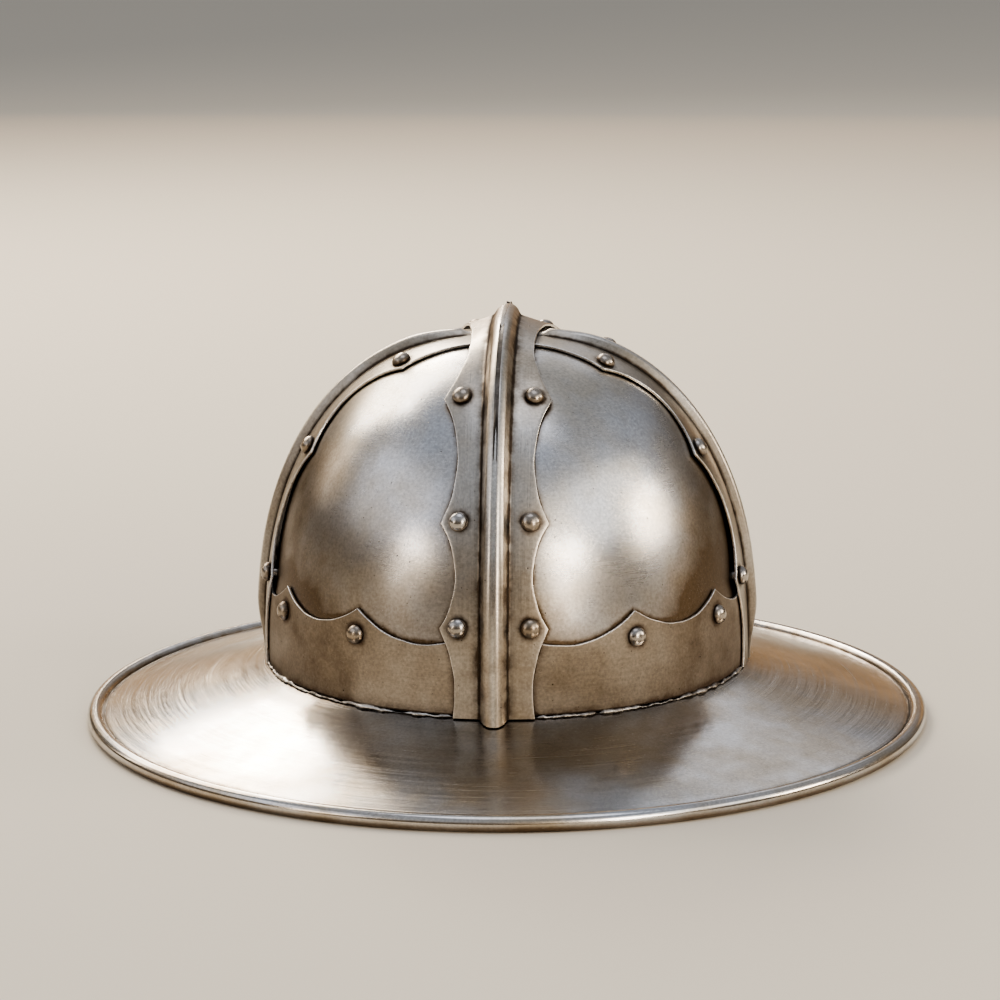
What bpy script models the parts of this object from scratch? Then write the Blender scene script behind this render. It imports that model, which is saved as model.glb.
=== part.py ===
"""Kettle hat: four dished steel plates under riveted bands, on a wide brim with a rolled edge.

Metres, +Z up. The origin is on the table, under the middle of the hat; the front faces -Y.
The crown is drawn round first, and one oval stretch along Y then gives every piece its true plan.
"""
import math

import bmesh
import bpy
from mathutils import Matrix, Vector

# Crown: the outer face of the dished plates
CROWN_HALF_WIDTH = 0.1068
CROWN_FOOT_HEIGHT = 0.0281
CROWN_RISE = 0.1462
CROWN_FULLNESS = 2.45
OVAL_LENGTH_OVER_WIDTH = 1.06

# Sheet and the clearances between layers
PLATE_SHEET = 0.0012
BAND_SHEET = 0.0012
BRIM_SHEET = 0.0012
LAYER_GAP = 0.0005
SEAT_GAP = 0.0003
SEAM_GAP = 0.0006

# Plates
APEX_CORNER_RADIUS = 0.008
PLATE_FOOT_RISE = 0.0030
PLATE_COLUMNS = 11

# Brim
BRIM_HALF_WIDTH = 0.1915
RIM_BEAD_RADIUS = 0.0037
RIM_BEAD_FLAT = 0.0024
BRIM_FLARE_HEIGHT = 0.0024
BRIM_FLARE_LENGTH = 0.006
COLLAR_BEND_HEIGHT = 0.0042
TURN_STEPS = 4 * PLATE_COLUMNS
BEAD_MIDDLE_HEIGHT = math.sqrt(RIM_BEAD_RADIUS**2 - (0.5 * RIM_BEAD_FLAT) ** 2)

# Brow band
BROW_CUSP_HEIGHT = 0.0418

# Comb band, with its keel
COMB_WAIST_HALF_WIDTH = 0.0163
COMB_TOP_WAIST_HALF_WIDTH = 0.0138
COMB_CUSP_HALF_WIDTH = 0.0228
COMB_RIVET_OFFSET = 0.0152
COMB_KEEL_HEIGHT = 0.0050
COMB_KEEL_APEX_HEIGHT = 0.0078
COMB_TENT_HEIGHT = 0.0034
COMB_KEEL_FOOT_HALF_WIDTH = 0.0060
COMB_KEEL_RIDGE_HALF_WIDTH = 0.0030

# Side bands, with a lower keel
SIDE_WAIST_HALF_WIDTH = 0.0185
SIDE_CUSP_HALF_WIDTH = 0.0272
SIDE_RIVET_OFFSET = 0.0203
SIDE_KEEL_HEIGHT = 0.0044
SIDE_KEEL_LOW_HEIGHT = 0.0030
SIDE_KEEL_END_HEIGHT = 0.0010
SIDE_KEEL_FOOT_HALF_WIDTH = 0.0042
SIDE_KEEL_RIDGE_HALF_WIDTH = 0.0016
SIDE_END_UNDER_COMB = 0.0080

# Rivets
HEAD_RADIUS = 0.00435
HEAD_HEIGHT = 0.0034
SHANK_RADIUS = 0.0020
TAIL_RADIUS = 0.0033
TAIL_HEIGHT = 0.0012
TAIL_CLEARANCE = 0.0013
HOLE_CLEARANCE = 0.0003
RIVET_STEPS = 8
HOLE_SIDES = 6
HOLE_OVERRUN = 0.0015
COLLAR_TO_COMB_TAIL = 0.00076
COLLAR_OVER_BROW_TAIL = 0.0006

# Climb angles, in degrees above the foot as seen from the crown's centre.
# Columns: climb of a rivet pair and its cusps, or of the comb's top waist, segments from the row before
COMB_FRONT_PAIRS = ((20.1, 4), (41.0, 4), (64.4, 5))
COMB_BACK_PAIRS = ((20.1, 4), (42.5, 4), (72.5, 5))
COMB_TOP_WAIST = (78.5, 3)
COMB_TOP_SEGMENTS = 5
SIDE_PAIRS = ((21.9, 4), (49.2, 6), (71.9, 4))
SIDE_TOP_CLIMBS = (76.0, 79.2, 82.2, 83.2)
HIDDEN_FOOT_CUSP = -9.0

# Climbs of the plates' rows between their foot and the apex corner, closer together over the shoulder
PLATE_ROW_CLIMBS = (22.5, 36.0, 46.5, 55.0, 62.5, 70.0, 77.5)

# Both kinds of band stand on the brow band at their foot and come down on the plates above it,
# between these climbs
COMB_OFF_BROW = (24.0, 42.0)
SIDE_OFF_BROW = (24.0, 64.0)
# The comb band lifts over the side bands' ends: fully lifted within the first angle of the apex,
# and down on the crown beyond the second. Its keel grows to its apex height over the second pair, and
# over the third its flanges rise towards the keel like a tent
COMB_LIFT_FROM_APEX = (16.0, 42.0)
COMB_KEEL_GROWTH_FROM_APEX = (15.0, 55.0)
COMB_TENT_FROM_APEX = (5.0, 15.5)
# Climbs where a side keel's foot fade is over, where it starts to sink to its low height, where it has,
# and where it is down, just before the comb band's edge
SIDE_KEEL_FADE = (14.0, 73.0, 82.2, 83.2)

# Scallops of the brow band in each quarter, from the comb (0) to the side band (1).
# Columns: azimuth share of the cusp that ends the scallop, share of the cusp height left at its low
BROW_SCALLOPS = ((0.383, 0.715), (0.702, 0.785), (1.0, 0.780))
SCALLOP_SEGMENTS = 4
BROW_STEPS = 2

# Shares of the brim's reach at which its section has a point
BRIM_STATIONS = (0.05, 0.13, 0.28, 0.60)
# Directions from the bead's middle, in degrees: over its top, then back under to the sheet
BEAD_TOP_ANGLES = (157.0, 100.0, 43.0, -14.0)
BEAD_BACK_ANGLES = (225.0, 184.0)
BRIM_MEET_RADIUS = (
    BRIM_HALF_WIDTH - RIM_BEAD_RADIUS + RIM_BEAD_RADIUS * math.cos(math.radians(BEAD_TOP_ANGLES[0]))
)
BRIM_MEET_HEIGHT = BEAD_MIDDLE_HEIGHT + RIM_BEAD_RADIUS * math.sin(math.radians(BEAD_TOP_ANGLES[0]))

FIRST_OUT = LAYER_GAP + BAND_SHEET
SECOND_OUT = FIRST_OUT + LAYER_GAP + BAND_SHEET
COMB_OUT_APEX = FIRST_OUT + SIDE_KEEL_END_HEIGHT + LAYER_GAP + BAND_SHEET
COLLAR_OUT = -(PLATE_SHEET + LAYER_GAP)

# The brim's collar ends just under the comb's lowest rivet tails, and the brow rivets' tails end just
# under the collar's top. Both heights count from the crown's foot
LOWEST_CLIMB = math.radians(COMB_FRONT_PAIRS[0][0])
LOWEST_RISE = math.sin(LOWEST_CLIMB) / (
    (math.cos(LOWEST_CLIMB) / CROWN_HALF_WIDTH) ** CROWN_FULLNESS
    + (math.sin(LOWEST_CLIMB) / CROWN_RISE) ** CROWN_FULLNESS
) ** (1.0 / CROWN_FULLNESS)
COLLAR_HEIGHT = LOWEST_RISE - TAIL_RADIUS - COLLAR_TO_COMB_TAIL
BROW_RIVET_HEIGHT = COLLAR_HEIGHT - TAIL_RADIUS - COLLAR_OVER_BROW_TAIL

QUARTERS = {
    "front_right": -90.0,
    "back_right": 0.0,
    "back_left": 90.0,
    "front_left": 180.0,
}


def smooth_share(value, start, end):
    """Share from 0 at start to 1 at end, easing in and out."""
    share = min(max((value - start) / (end - start), 0.0), 1.0)
    return share * share * (3.0 - 2.0 * share)


def spaced(start, end, count):
    """Values after start up to end, in count equal steps."""
    return [start + (end - start) * step / count for step in range(1, count + 1)]


def oval(point):
    """Stretch a point of the round hat along Y; beyond the plates the stretch is a plain shift."""
    radius = math.hypot(point.x, point.y)
    stretch = OVAL_LENGTH_OVER_WIDTH - 1.0
    if radius > CROWN_HALF_WIDTH:
        stretch *= CROWN_HALF_WIDTH / radius
    return Vector((point.x, point.y * (1.0 + stretch), point.z))


def crown_fill(radius, height):
    """How far a point is out to the crown's face: 1 on the face, less inside."""
    across = (radius / CROWN_HALF_WIDTH) ** CROWN_FULLNESS
    return across + (max(height, 0.0) / CROWN_RISE) ** CROWN_FULLNESS


def crown_normal(point):
    """Outward normal of the round crown at a point of its face; height counts from the foot."""
    radius = math.hypot(point.x, point.y)
    height = max(point.z - CROWN_FOOT_HEIGHT, 0.0)
    power = CROWN_FULLNESS - 1.0
    sideways = (radius / CROWN_HALF_WIDTH) ** power / CROWN_HALF_WIDTH
    upward = (height / CROWN_RISE) ** power / CROWN_RISE
    return Vector((sideways * point.x / radius, sideways * point.y / radius, upward)).normalized()


def rib_point(azimuth, climb, across):
    """Point of the crown's face over a rib's centre plane, moved across it.

    azimuth turns the rib's foot from +X towards +Y, climb is the angle above the foot, both in degrees.
    """
    along = Vector((math.cos(math.radians(azimuth)), math.sin(math.radians(azimuth)), 0.0))
    sideways = Vector((-along.y, along.x, 0.0)) * across
    run = math.cos(math.radians(climb))
    rise = math.sin(math.radians(climb))
    inside, outside = 0.0, CROWN_HALF_WIDTH + CROWN_RISE
    while outside - inside > 1e-8:
        middle = 0.5 * (inside + outside)
        if crown_fill(math.hypot(middle * run, across), middle * rise) < 1.0:
            inside = middle
        else:
            outside = middle
    point = along * (inside * run) + sideways
    point.z = CROWN_FOOT_HEIGHT + inside * rise
    return point


def level_point(azimuth, height):
    """Point of the crown's face at an azimuth in degrees and a height above the foot."""
    share = 1.0 - (height / CROWN_RISE) ** CROWN_FULLNESS
    radius = CROWN_HALF_WIDTH * share ** (1.0 / CROWN_FULLNESS)
    turn = math.radians(azimuth)
    return Vector((radius * math.cos(turn), radius * math.sin(turn), CROWN_FOOT_HEIGHT + height))


def raised(point, out):
    """A point of the crown's face moved out along its normal, in the oval plan."""
    return oval(point + crown_normal(point) * out)


def oval_normal(point):
    """Outward normal of the oval crown over a point of the round one."""
    normal = crown_normal(point)
    normal.y /= OVAL_LENGTH_OVER_WIDTH
    return normal.normalized()


def steel(name, colour, roughness):
    """Satin steel of one tone."""
    material = bpy.data.materials.new(name)
    material.use_nodes = True
    shader = material.node_tree.nodes["Principled BSDF"]
    shader.inputs["Base Color"].default_value = (*colour, 1.0)
    shader.inputs["Roughness"].default_value = roughness
    shader.inputs["Metallic"].default_value = 1.0
    return material


def collection(name):
    """A new collection in the scene."""
    group = bpy.data.collections.new(name)
    bpy.context.scene.collection.children.link(group)
    return group


def add_object(name, mesh, group, material=None):
    """An object for a mesh, in a collection, shaded smooth between its sharp edges."""
    mesh.shade_smooth()
    mesh.set_sharp_from_angle(angle=math.radians(30.0))
    if material:
        mesh.materials.append(material)
    piece = bpy.data.objects.new(name, mesh)
    group.objects.link(piece)
    return piece


def wrapped_grid(name, columns, rows, place, closed=False):
    """A grid of quads whose every vertex is put where place(column, row) says, facing out."""
    shell = bmesh.new()
    bmesh.ops.create_grid(shell, x_segments=columns, y_segments=rows, size=0.5)
    for vertex in shell.verts:
        column = round((vertex.co.x + 0.5) * columns)
        row = round((vertex.co.y + 0.5) * rows)
        vertex.co = place(column, row)
    if closed:
        bmesh.ops.remove_doubles(shell, verts=shell.verts, dist=1e-6)
    shell.normal_update()
    first = min(shell.faces, key=lambda face: face.calc_center_median().z)
    middle = Vector((0.0, 0.0, CROWN_FOOT_HEIGHT))
    if first.normal.dot(first.calc_center_median() - middle) < 0.0:
        bmesh.ops.reverse_faces(shell, faces=shell.faces)
    mesh = bpy.data.meshes.new(name)
    shell.to_mesh(mesh)
    shell.free()
    return mesh


def thicken(piece, sheet):
    """Give an open surface its sheet thickness, inward from its outer face."""
    solidify = piece.modifiers.new("Sheet", "SOLIDIFY")
    solidify.thickness = sheet
    solidify.offset = -1.0
    solidify.use_even_offset = True


def drill(piece, cutter):
    """Cut a set of rivet holes through a piece."""
    hole = piece.modifiers.new("Rivet holes", "BOOLEAN")
    hole.operation = "DIFFERENCE"
    hole.solver = "EXACT"
    hole.object = cutter


def even_waists(cusps, waist):
    """A waist half way between each two cusps: its climb and its half width."""
    return [(0.5 * (start + end), waist) for start, end in zip(cusps, cusps[1:])]


def scalloped_width(climb, cusps, waists, cusp):
    """Half width of a band whose edge runs in hollow arcs from cusp to waist to cusp."""
    for start, end, (low, waist) in zip(cusps, cusps[1:], waists):
        if start <= climb <= end:
            share = (climb - low) / (low - start if climb < low else end - low)
            return waist + (cusp - waist) * share * share
    return cusp


def brim_top(radius):
    """Height of the brim's upper face, flared near the crown and straight towards the rim."""
    start = CROWN_HALF_WIDTH + LAYER_GAP
    share = (radius - start) / (BRIM_MEET_RADIUS - start)
    drop = CROWN_FOOT_HEIGHT - SEAT_GAP - BRIM_MEET_HEIGHT - BRIM_FLARE_HEIGHT
    flare = BRIM_FLARE_HEIGHT * math.exp((start - radius) / BRIM_FLARE_LENGTH)
    return BRIM_MEET_HEIGHT + drop * (1.0 - share) + flare


def inner_line(points, distance):
    """The same line moved to its right-hand side, as an evenly thick sheet's other face."""
    moved = []
    for index, point in enumerate(points):
        before = points[max(index - 1, 0)]
        after = points[min(index + 1, len(points) - 1)]
        along = (after - before).normalized()
        moved.append(point + Vector((along.y, -along.x)) * distance)
    return moved


def rim_bead():
    """Section of the rolled edge, over its top and round to its underside, with a flat it rests on."""
    middle = Vector((BRIM_HALF_WIDTH - RIM_BEAD_RADIUS, BEAD_MIDDLE_HEIGHT))
    points = []
    for angle in BEAD_TOP_ANGLES:
        turn = math.radians(angle)
        points.append(middle + Vector((math.cos(turn), math.sin(turn))) * RIM_BEAD_RADIUS)
    points.append(Vector((middle.x + 0.5 * RIM_BEAD_FLAT, 0.0)))
    points.append(Vector((middle.x - 0.5 * RIM_BEAD_FLAT, 0.0)))
    for angle in BEAD_BACK_ANGLES:
        turn = math.radians(angle)
        points.append(middle + Vector((math.cos(turn), math.sin(turn))) * RIM_BEAD_RADIUS)
    return points


def brim_section():
    """Closed section of the brim at +X: down the collar, out to the bead and back underneath."""
    top = level_point(0.0, COLLAR_HEIGHT)
    top += crown_normal(top) * COLLAR_OUT
    upper = [Vector((top.x, top.z))]
    wall = CROWN_HALF_WIDTH + COLLAR_OUT
    foot = Vector((CROWN_HALF_WIDTH + LAYER_GAP, CROWN_FOOT_HEIGHT - SEAT_GAP))
    bend_top = CROWN_FOOT_HEIGHT + COLLAR_BEND_HEIGHT
    for angle in (0.0, 50.0):
        turn = math.radians(angle)
        out = (foot.x - wall) * (1.0 - math.cos(turn))
        down = (bend_top - foot.y) * math.sin(turn)
        upper.append(Vector((wall + out, bend_top - down)))
    upper.append(foot)
    for share in BRIM_STATIONS:
        radius = foot.x + (BRIM_MEET_RADIUS - foot.x) * share
        upper.append(Vector((radius, brim_top(radius))))
    under = inner_line(upper, BRIM_SHEET)
    return upper + rim_bead() + under[::-1]


def make_brim(group):
    """Brim: the section turned once round, then stretched to the oval plan."""
    section = bmesh.new()
    corners = [section.verts.new((point.x, 0.0, point.y)) for point in brim_section()]
    for start, end in zip(corners, corners[1:] + corners[:1]):
        section.edges.new((start, end))
    mesh = bpy.data.meshes.new("brim_section")
    section.to_mesh(mesh)
    section.free()
    guide = add_object("brim_section", mesh, group)
    screw = guide.modifiers.new("Turn", "SCREW")
    screw.steps = TURN_STEPS
    screw.render_steps = TURN_STEPS
    screw.use_merge_vertices = True
    screw.merge_threshold = 1e-5
    bpy.context.view_layer.update()
    turned = bpy.data.meshes.new_from_object(guide.evaluated_get(bpy.context.evaluated_depsgraph_get()))
    bpy.data.objects.remove(guide)
    for vertex in turned.vertices:
        vertex.co = oval(vertex.co)
    turned.name = "brim"
    return add_object("brim", turned, group, steel("brim_steel", (0.42, 0.40, 0.38), 0.30))


def make_plate(name, first_azimuth, group):
    """One dished quarter of the crown, from the brim's collar to the cut corner at the apex."""
    low = math.degrees(math.atan2(PLATE_FOOT_RISE, CROWN_HALF_WIDTH))
    high = 90.0 - math.degrees(math.atan2(APEX_CORNER_RADIUS, CROWN_RISE))
    climbs = (low, *PLATE_ROW_CLIMBS, high)

    def place(column, row):
        face = rib_point(0.0, climbs[row], 0.0)
        seam = math.degrees(math.asin(0.5 * SEAM_GAP / face.x))
        share = column / PLATE_COLUMNS
        azimuth = math.radians(first_azimuth + seam + (90.0 - 2.0 * seam) * share)
        return oval(Matrix.Rotation(azimuth, 3, "Z") @ face)

    mesh = wrapped_grid(name, PLATE_COLUMNS, len(climbs) - 1, place)
    plate = add_object(name, mesh, group, steel(name + "_steel", (0.50, 0.49, 0.47), 0.28))
    thicken(plate, PLATE_SHEET)
    return plate


def scallop_cusps():
    """Azimuth shares of the brow band's cusps in a quarter, with the one under the comb band."""
    return [0.0] + [cusp for cusp, _ in BROW_SCALLOPS]


def brow_columns():
    """Azimuth in degrees and height of the upper edge for each column once round."""
    quarter = []
    cusps = scallop_cusps()
    for start, (end, low) in zip(cusps, BROW_SCALLOPS):
        for share in [start] + spaced(start, end, SCALLOP_SEGMENTS)[:-1]:
            sway = 2.0 * (share - start) / (end - start) - 1.0
            quarter.append((share, BROW_CUSP_HEIGHT * (low + (1.0 - low) * sway * sway)))
    columns = []
    for side in (0.0, 180.0):
        columns += [(side + 90.0 * share, height) for share, height in quarter]
        columns.append((side + 90.0, BROW_CUSP_HEIGHT))
        columns += [(side + 180.0 - 90.0 * share, height) for share, height in quarter[:0:-1]]
    columns.append(columns[0])
    return columns


def make_brow_band(group):
    """Brow band: a ring on the crown's foot with a scalloped upper edge."""
    columns = brow_columns()

    def place(column, row):
        azimuth, height = columns[column]
        return raised(level_point(azimuth - 90.0, height * row / BROW_STEPS), FIRST_OUT)

    mesh = wrapped_grid("brow_band", len(columns) - 1, BROW_STEPS, place, closed=True)
    band = add_object("brow_band", mesh, group, steel("brow_band_steel", (0.40, 0.36, 0.31), 0.33))
    thicken(band, BAND_SHEET)
    return band


def make_band(name, azimuth, climbs, shape, group):
    """A band over the crown with a keel along its middle, standing on the brim at climb 0 and 180.

    shape gives, at a climb: half width, flange height over the plates, keel height and how far the
    flanges rise to the keel; and the keel's half widths at its foot and its ridge.
    """
    profile, keel_foot, keel_ridge = shape

    def place(column, row):
        half_width, out, keel, tent = profile(climbs[row])
        middle = 0.5 * (half_width + keel_foot)
        half = [(keel_ridge, keel), (keel_foot, tent), (middle, 0.5 * tent), (half_width, 0.0)]
        across = [(-offset, rise) for offset, rise in half[::-1]] + half
        offset, rise = across[column]
        face = rib_point(azimuth, climbs[row], offset)
        face += crown_normal(face) * (out + rise)
        if climbs[row] in (0.0, 180.0):
            face.z = brim_top(math.hypot(face.x, face.y) - BAND_SHEET) + SEAT_GAP
        return oval(face)

    mesh = wrapped_grid(name, 7, len(climbs) - 1, place)
    band = add_object(name, mesh, group, steel(name + "_steel", (0.43, 0.39, 0.34), 0.32))
    thicken(band, BAND_SHEET)
    return band


def off_brow(climb, climbs):
    """Flange height of a band over the plates: on the brow band at its foot, on the plates above."""
    return SECOND_OUT + (FIRST_OUT - SECOND_OUT) * smooth_share(climb, *climbs)


def comb_lift(climb):
    """Flange height of the comb band over the plates; it rises over the side bands' ends."""
    from_apex = abs(climb - 90.0)
    raised_share = 1.0 - smooth_share(from_apex, *COMB_LIFT_FROM_APEX)
    return off_brow(90.0 - from_apex, COMB_OFF_BROW) + (COMB_OUT_APEX - FIRST_OUT) * raised_share


def comb_climbs():
    """Climbs of the comb band's stations, front foot to back foot."""
    climbs = [0.0]
    for pair, segments in COMB_FRONT_PAIRS:
        climbs += spaced(climbs[-1], pair, segments)
    climbs += spaced(climbs[-1], *COMB_TOP_WAIST)
    climbs += spaced(climbs[-1], 180.0 - COMB_BACK_PAIRS[-1][0], COMB_TOP_SEGMENTS)
    behind = [(180.0 - pair, segments) for pair, segments in COMB_BACK_PAIRS] + [(180.0, 0)]
    behind.sort()
    segments_down = [segments for _, segments in COMB_BACK_PAIRS][::-1]
    for (end, _), segments in zip(behind[1:], segments_down):
        climbs += spaced(climbs[-1], end, segments)
    return climbs


def comb_profile(climb):
    """Half width, flange height, keel height and flange rise of the comb band."""
    front = [pair for pair, _ in COMB_FRONT_PAIRS]
    back = [180.0 - pair for pair, _ in COMB_BACK_PAIRS][::-1]
    cusps = [HIDDEN_FOOT_CUSP] + front + back + [180.0 - HIDDEN_FOOT_CUSP]
    waists = even_waists(cusps, COMB_WAIST_HALF_WIDTH)
    waists[len(front)] = (COMB_TOP_WAIST[0], COMB_TOP_WAIST_HALF_WIDTH)
    width = scalloped_width(climb, cusps, waists, COMB_CUSP_HALF_WIDTH)
    grown = 1.0 - smooth_share(abs(climb - 90.0), *COMB_KEEL_GROWTH_FROM_APEX)
    keel = COMB_KEEL_HEIGHT + (COMB_KEEL_APEX_HEIGHT - COMB_KEEL_HEIGHT) * grown
    tent = COMB_TENT_HEIGHT * (1.0 - smooth_share(abs(climb - 90.0), *COMB_TENT_FROM_APEX))
    return width, comb_lift(climb), keel, tent


def side_climbs():
    """Climbs of a side band's stations, from its foot to its end under the comb band."""
    climbs = [0.0]
    for pair, segments in SIDE_PAIRS:
        climbs += spaced(climbs[-1], pair, segments)
    end = 90.0 - math.degrees(math.atan2(SIDE_END_UNDER_COMB, CROWN_RISE))
    return climbs + [*SIDE_TOP_CLIMBS, end]


def side_profile(climb):
    """Half width, flange height, keel height and flange rise of a side band."""
    pairs = [pair for pair, _ in SIDE_PAIRS]
    cusps = [HIDDEN_FOOT_CUSP] + pairs + [180.0 - pairs[-1]]
    waists = even_waists(cusps, SIDE_WAIST_HALF_WIDTH)
    width = scalloped_width(climb, cusps, waists, SIDE_CUSP_HALF_WIDTH)
    foot_over, sink_start, sink_end, down = SIDE_KEEL_FADE
    sunk = smooth_share(climb, sink_start, sink_end)
    height = SIDE_KEEL_HEIGHT + (SIDE_KEEL_LOW_HEIGHT - SIDE_KEEL_HEIGHT) * sunk
    share = smooth_share(climb, 0.0, foot_over) * (1.0 - smooth_share(climb, sink_end, down))
    keel = SIDE_KEEL_END_HEIGHT + (height - SIDE_KEEL_END_HEIGHT) * share
    return width, off_brow(climb, SIDE_OFF_BROW), keel, 0.0


def rivet_seats():
    """Every rivet's name, its point of the round crown, and how high its band's outer face stands."""
    seats = []
    for end, pairs in (("front", COMB_FRONT_PAIRS), ("back", COMB_BACK_PAIRS)):
        azimuth = -90.0 if end == "front" else 90.0
        for number, (climb, _) in enumerate(pairs, start=1):
            for side, turn in (("left", -1.0), ("right", 1.0)):
                across = COMB_RIVET_OFFSET * turn * (1.0 if end == "front" else -1.0)
                point = rib_point(azimuth, climb, across)
                seats.append((f"rivet_comb_{end}_{side}_{number}", point, comb_lift(climb), 0.0))
    for side, azimuth in (("right", 0.0), ("left", 180.0)):
        for number, (climb, _) in enumerate(SIDE_PAIRS, start=1):
            for end, turn in (("front", -1.0), ("back", 1.0)):
                across = SIDE_RIVET_OFFSET * turn * (1.0 if side == "right" else -1.0)
                point = rib_point(azimuth, climb, across)
                out = off_brow(climb, SIDE_OFF_BROW)
                seats.append((f"rivet_side_{side}_{end}_{number}", point, out, 0.0))
    collar = LAYER_GAP + BRIM_SHEET
    for quarter, first_azimuth in QUARTERS.items():
        from_comb = quarter in ("front_right", "back_left")
        for number, cusp in enumerate(scallop_cusps()[1:-1], start=1):
            share = cusp if from_comb else 1.0 - cusp
            point = level_point(first_azimuth + 90.0 * share, BROW_RIVET_HEIGHT)
            seats.append((f"rivet_brow_{quarter}_{number}", point, FIRST_OUT, collar))
    return seats


def make_rivet(name, point, out, stack, group, material):
    """A rivet: domed head on its band, shank through the layers, low peened tail inside."""
    corners = [(0.0, HEAD_HEIGHT)]
    corners.append((HEAD_RADIUS * 0.72, HEAD_HEIGHT * 0.68))
    corners.append((HEAD_RADIUS, 0.0))
    corners.append((SHANK_RADIUS, 0.0))
    corners.append((SHANK_RADIUS, -stack))
    corners.append((TAIL_RADIUS, -stack))
    corners.append((0.0, -stack - TAIL_HEIGHT))
    profile = bmesh.new()
    line = [profile.verts.new((radius, 0.0, height)) for radius, height in corners]
    for start, end in zip(line, line[1:]):
        profile.edges.new((start, end))
    mesh = bpy.data.meshes.new(name)
    profile.to_mesh(mesh)
    profile.free()
    rivet = add_object(name, mesh, group, material)
    screw = rivet.modifiers.new("Turn", "SCREW")
    screw.steps = RIVET_STEPS
    screw.render_steps = RIVET_STEPS
    screw.use_merge_vertices = True
    screw.merge_threshold = 1e-5
    rivet.location = raised(point, out + SEAT_GAP)
    rivet.rotation_euler = oval_normal(point).to_track_quat("Z", "Y").to_euler()
    return rivet


def add_hole(cutters, point, out, stack):
    """Add one rivet's hole to the cutter mesh, wide enough that its flats clear the shank."""
    radius = (SHANK_RADIUS + HOLE_CLEARANCE) / math.cos(math.pi / HOLE_SIDES)
    depth = stack + HOLE_OVERRUN
    axis = oval_normal(point)
    middle = raised(point, out + SEAT_GAP) + axis * (0.5 * (HOLE_OVERRUN - stack))
    turn = axis.to_track_quat("Z", "Y").to_matrix().to_4x4()
    bmesh.ops.create_cone(cutters, cap_ends=True, segments=HOLE_SIDES, radius1=radius, radius2=radius,
                          depth=depth, matrix=Matrix.Translation(middle) @ turn)


def make_rivets(group, cutter_group):
    """All rivets, and one cutter that holds all their holes."""
    material = steel("rivet_steel", (0.55, 0.53, 0.50), 0.22)
    holes = bmesh.new()
    for name, point, out, collar in rivet_seats():
        stack = SEAT_GAP + out + PLATE_SHEET + collar + TAIL_CLEARANCE
        make_rivet(name, point, out, stack, group, material)
        add_hole(holes, point, out, stack)
    mesh = bpy.data.meshes.new("rivet_holes")
    holes.to_mesh(mesh)
    holes.free()
    cutter = add_object("rivet_holes", mesh, cutter_group)
    cutter.hide_render = True
    cutter.display_type = "WIRE"
    return cutter


def clear_scene():
    """Start from an empty scene."""
    for old in list(bpy.data.objects):
        bpy.data.objects.remove(old, do_unlink=True)


def main():
    """Build the hat from the brim up."""
    clear_scene()
    hat = collection("kettle_hat")
    cutter = make_rivets(hat, collection("cutters"))
    comb_shape = (comb_profile, COMB_KEEL_FOOT_HALF_WIDTH, COMB_KEEL_RIDGE_HALF_WIDTH)
    side_shape = (side_profile, SIDE_KEEL_FOOT_HALF_WIDTH, SIDE_KEEL_RIDGE_HALF_WIDTH)
    sheets = [make_brim(hat), make_brow_band(hat)]
    for name, first_azimuth in QUARTERS.items():
        sheets.append(make_plate("plate_" + name, first_azimuth, hat))
    sheets.append(make_band("comb_band", -90.0, comb_climbs(), comb_shape, hat))
    for side, azimuth in (("right", 0.0), ("left", 180.0)):
        sheets.append(make_band("side_band_" + side, azimuth, side_climbs(), side_shape, hat))
    for sheet in sheets:
        drill(sheet, cutter)


main()
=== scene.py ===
"""Kettle hat: the looks of its plates, bands, rivets and brim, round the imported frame.

Metres, +Z up, the front faces -Y. The crown is drawn round first, and one oval stretch along Y
then gives every piece its true plan, as in the solids.
"""
import logging
import math
from dataclasses import dataclass, field
from enum import Enum

import bpy
import numpy as np
from mathutils import Matrix, Vector


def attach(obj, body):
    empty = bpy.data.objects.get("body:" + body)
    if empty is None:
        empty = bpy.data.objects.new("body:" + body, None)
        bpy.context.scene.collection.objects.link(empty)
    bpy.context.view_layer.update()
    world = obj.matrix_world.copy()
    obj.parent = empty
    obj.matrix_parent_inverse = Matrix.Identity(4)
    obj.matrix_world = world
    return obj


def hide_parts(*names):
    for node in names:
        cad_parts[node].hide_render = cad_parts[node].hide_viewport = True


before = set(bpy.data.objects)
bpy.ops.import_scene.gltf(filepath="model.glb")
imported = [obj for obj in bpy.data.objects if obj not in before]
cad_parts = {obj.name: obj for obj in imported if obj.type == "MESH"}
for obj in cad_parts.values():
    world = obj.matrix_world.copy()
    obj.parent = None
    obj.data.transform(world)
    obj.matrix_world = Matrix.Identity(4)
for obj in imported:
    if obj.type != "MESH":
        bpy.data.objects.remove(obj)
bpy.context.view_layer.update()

Array = np.ndarray
Node = bpy.types.Node
Tree = bpy.types.NodeTree
Span = tuple[float, float]
Place = tuple[float, float, float]

LOG = logging.getLogger("kettle_hat")
BODY = "root"
MM = 0.001
FAR_MM = 99.0
FULL_TURN = 2.0 * math.pi


class Axis(Enum):
    """The axis that a surface was brushed round."""

    ACROSS = "X"
    FRONT = "Y"
    UP = "Z"


class Slot(Enum):
    """Material slots of the record."""

    BRIM = "brim_steel"
    PLATE = "plate_steel"
    BAND = "band_steel"
    RIVET = "rivet_steel"


def smooth_share(value: Array, start: float, end: float) -> Array:
    """Share from 0 at start to 1 at end, easing in and out.

    Args:
        value: The values to place.
        start: Value where the share is 0.
        end: Value where the share is 1.

    Returns:
        The shares.
    """
    share = np.clip((np.asarray(value, float) - start) / (end - start), 0.0, 1.0)
    return share * share * (3.0 - 2.0 * share)


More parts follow.
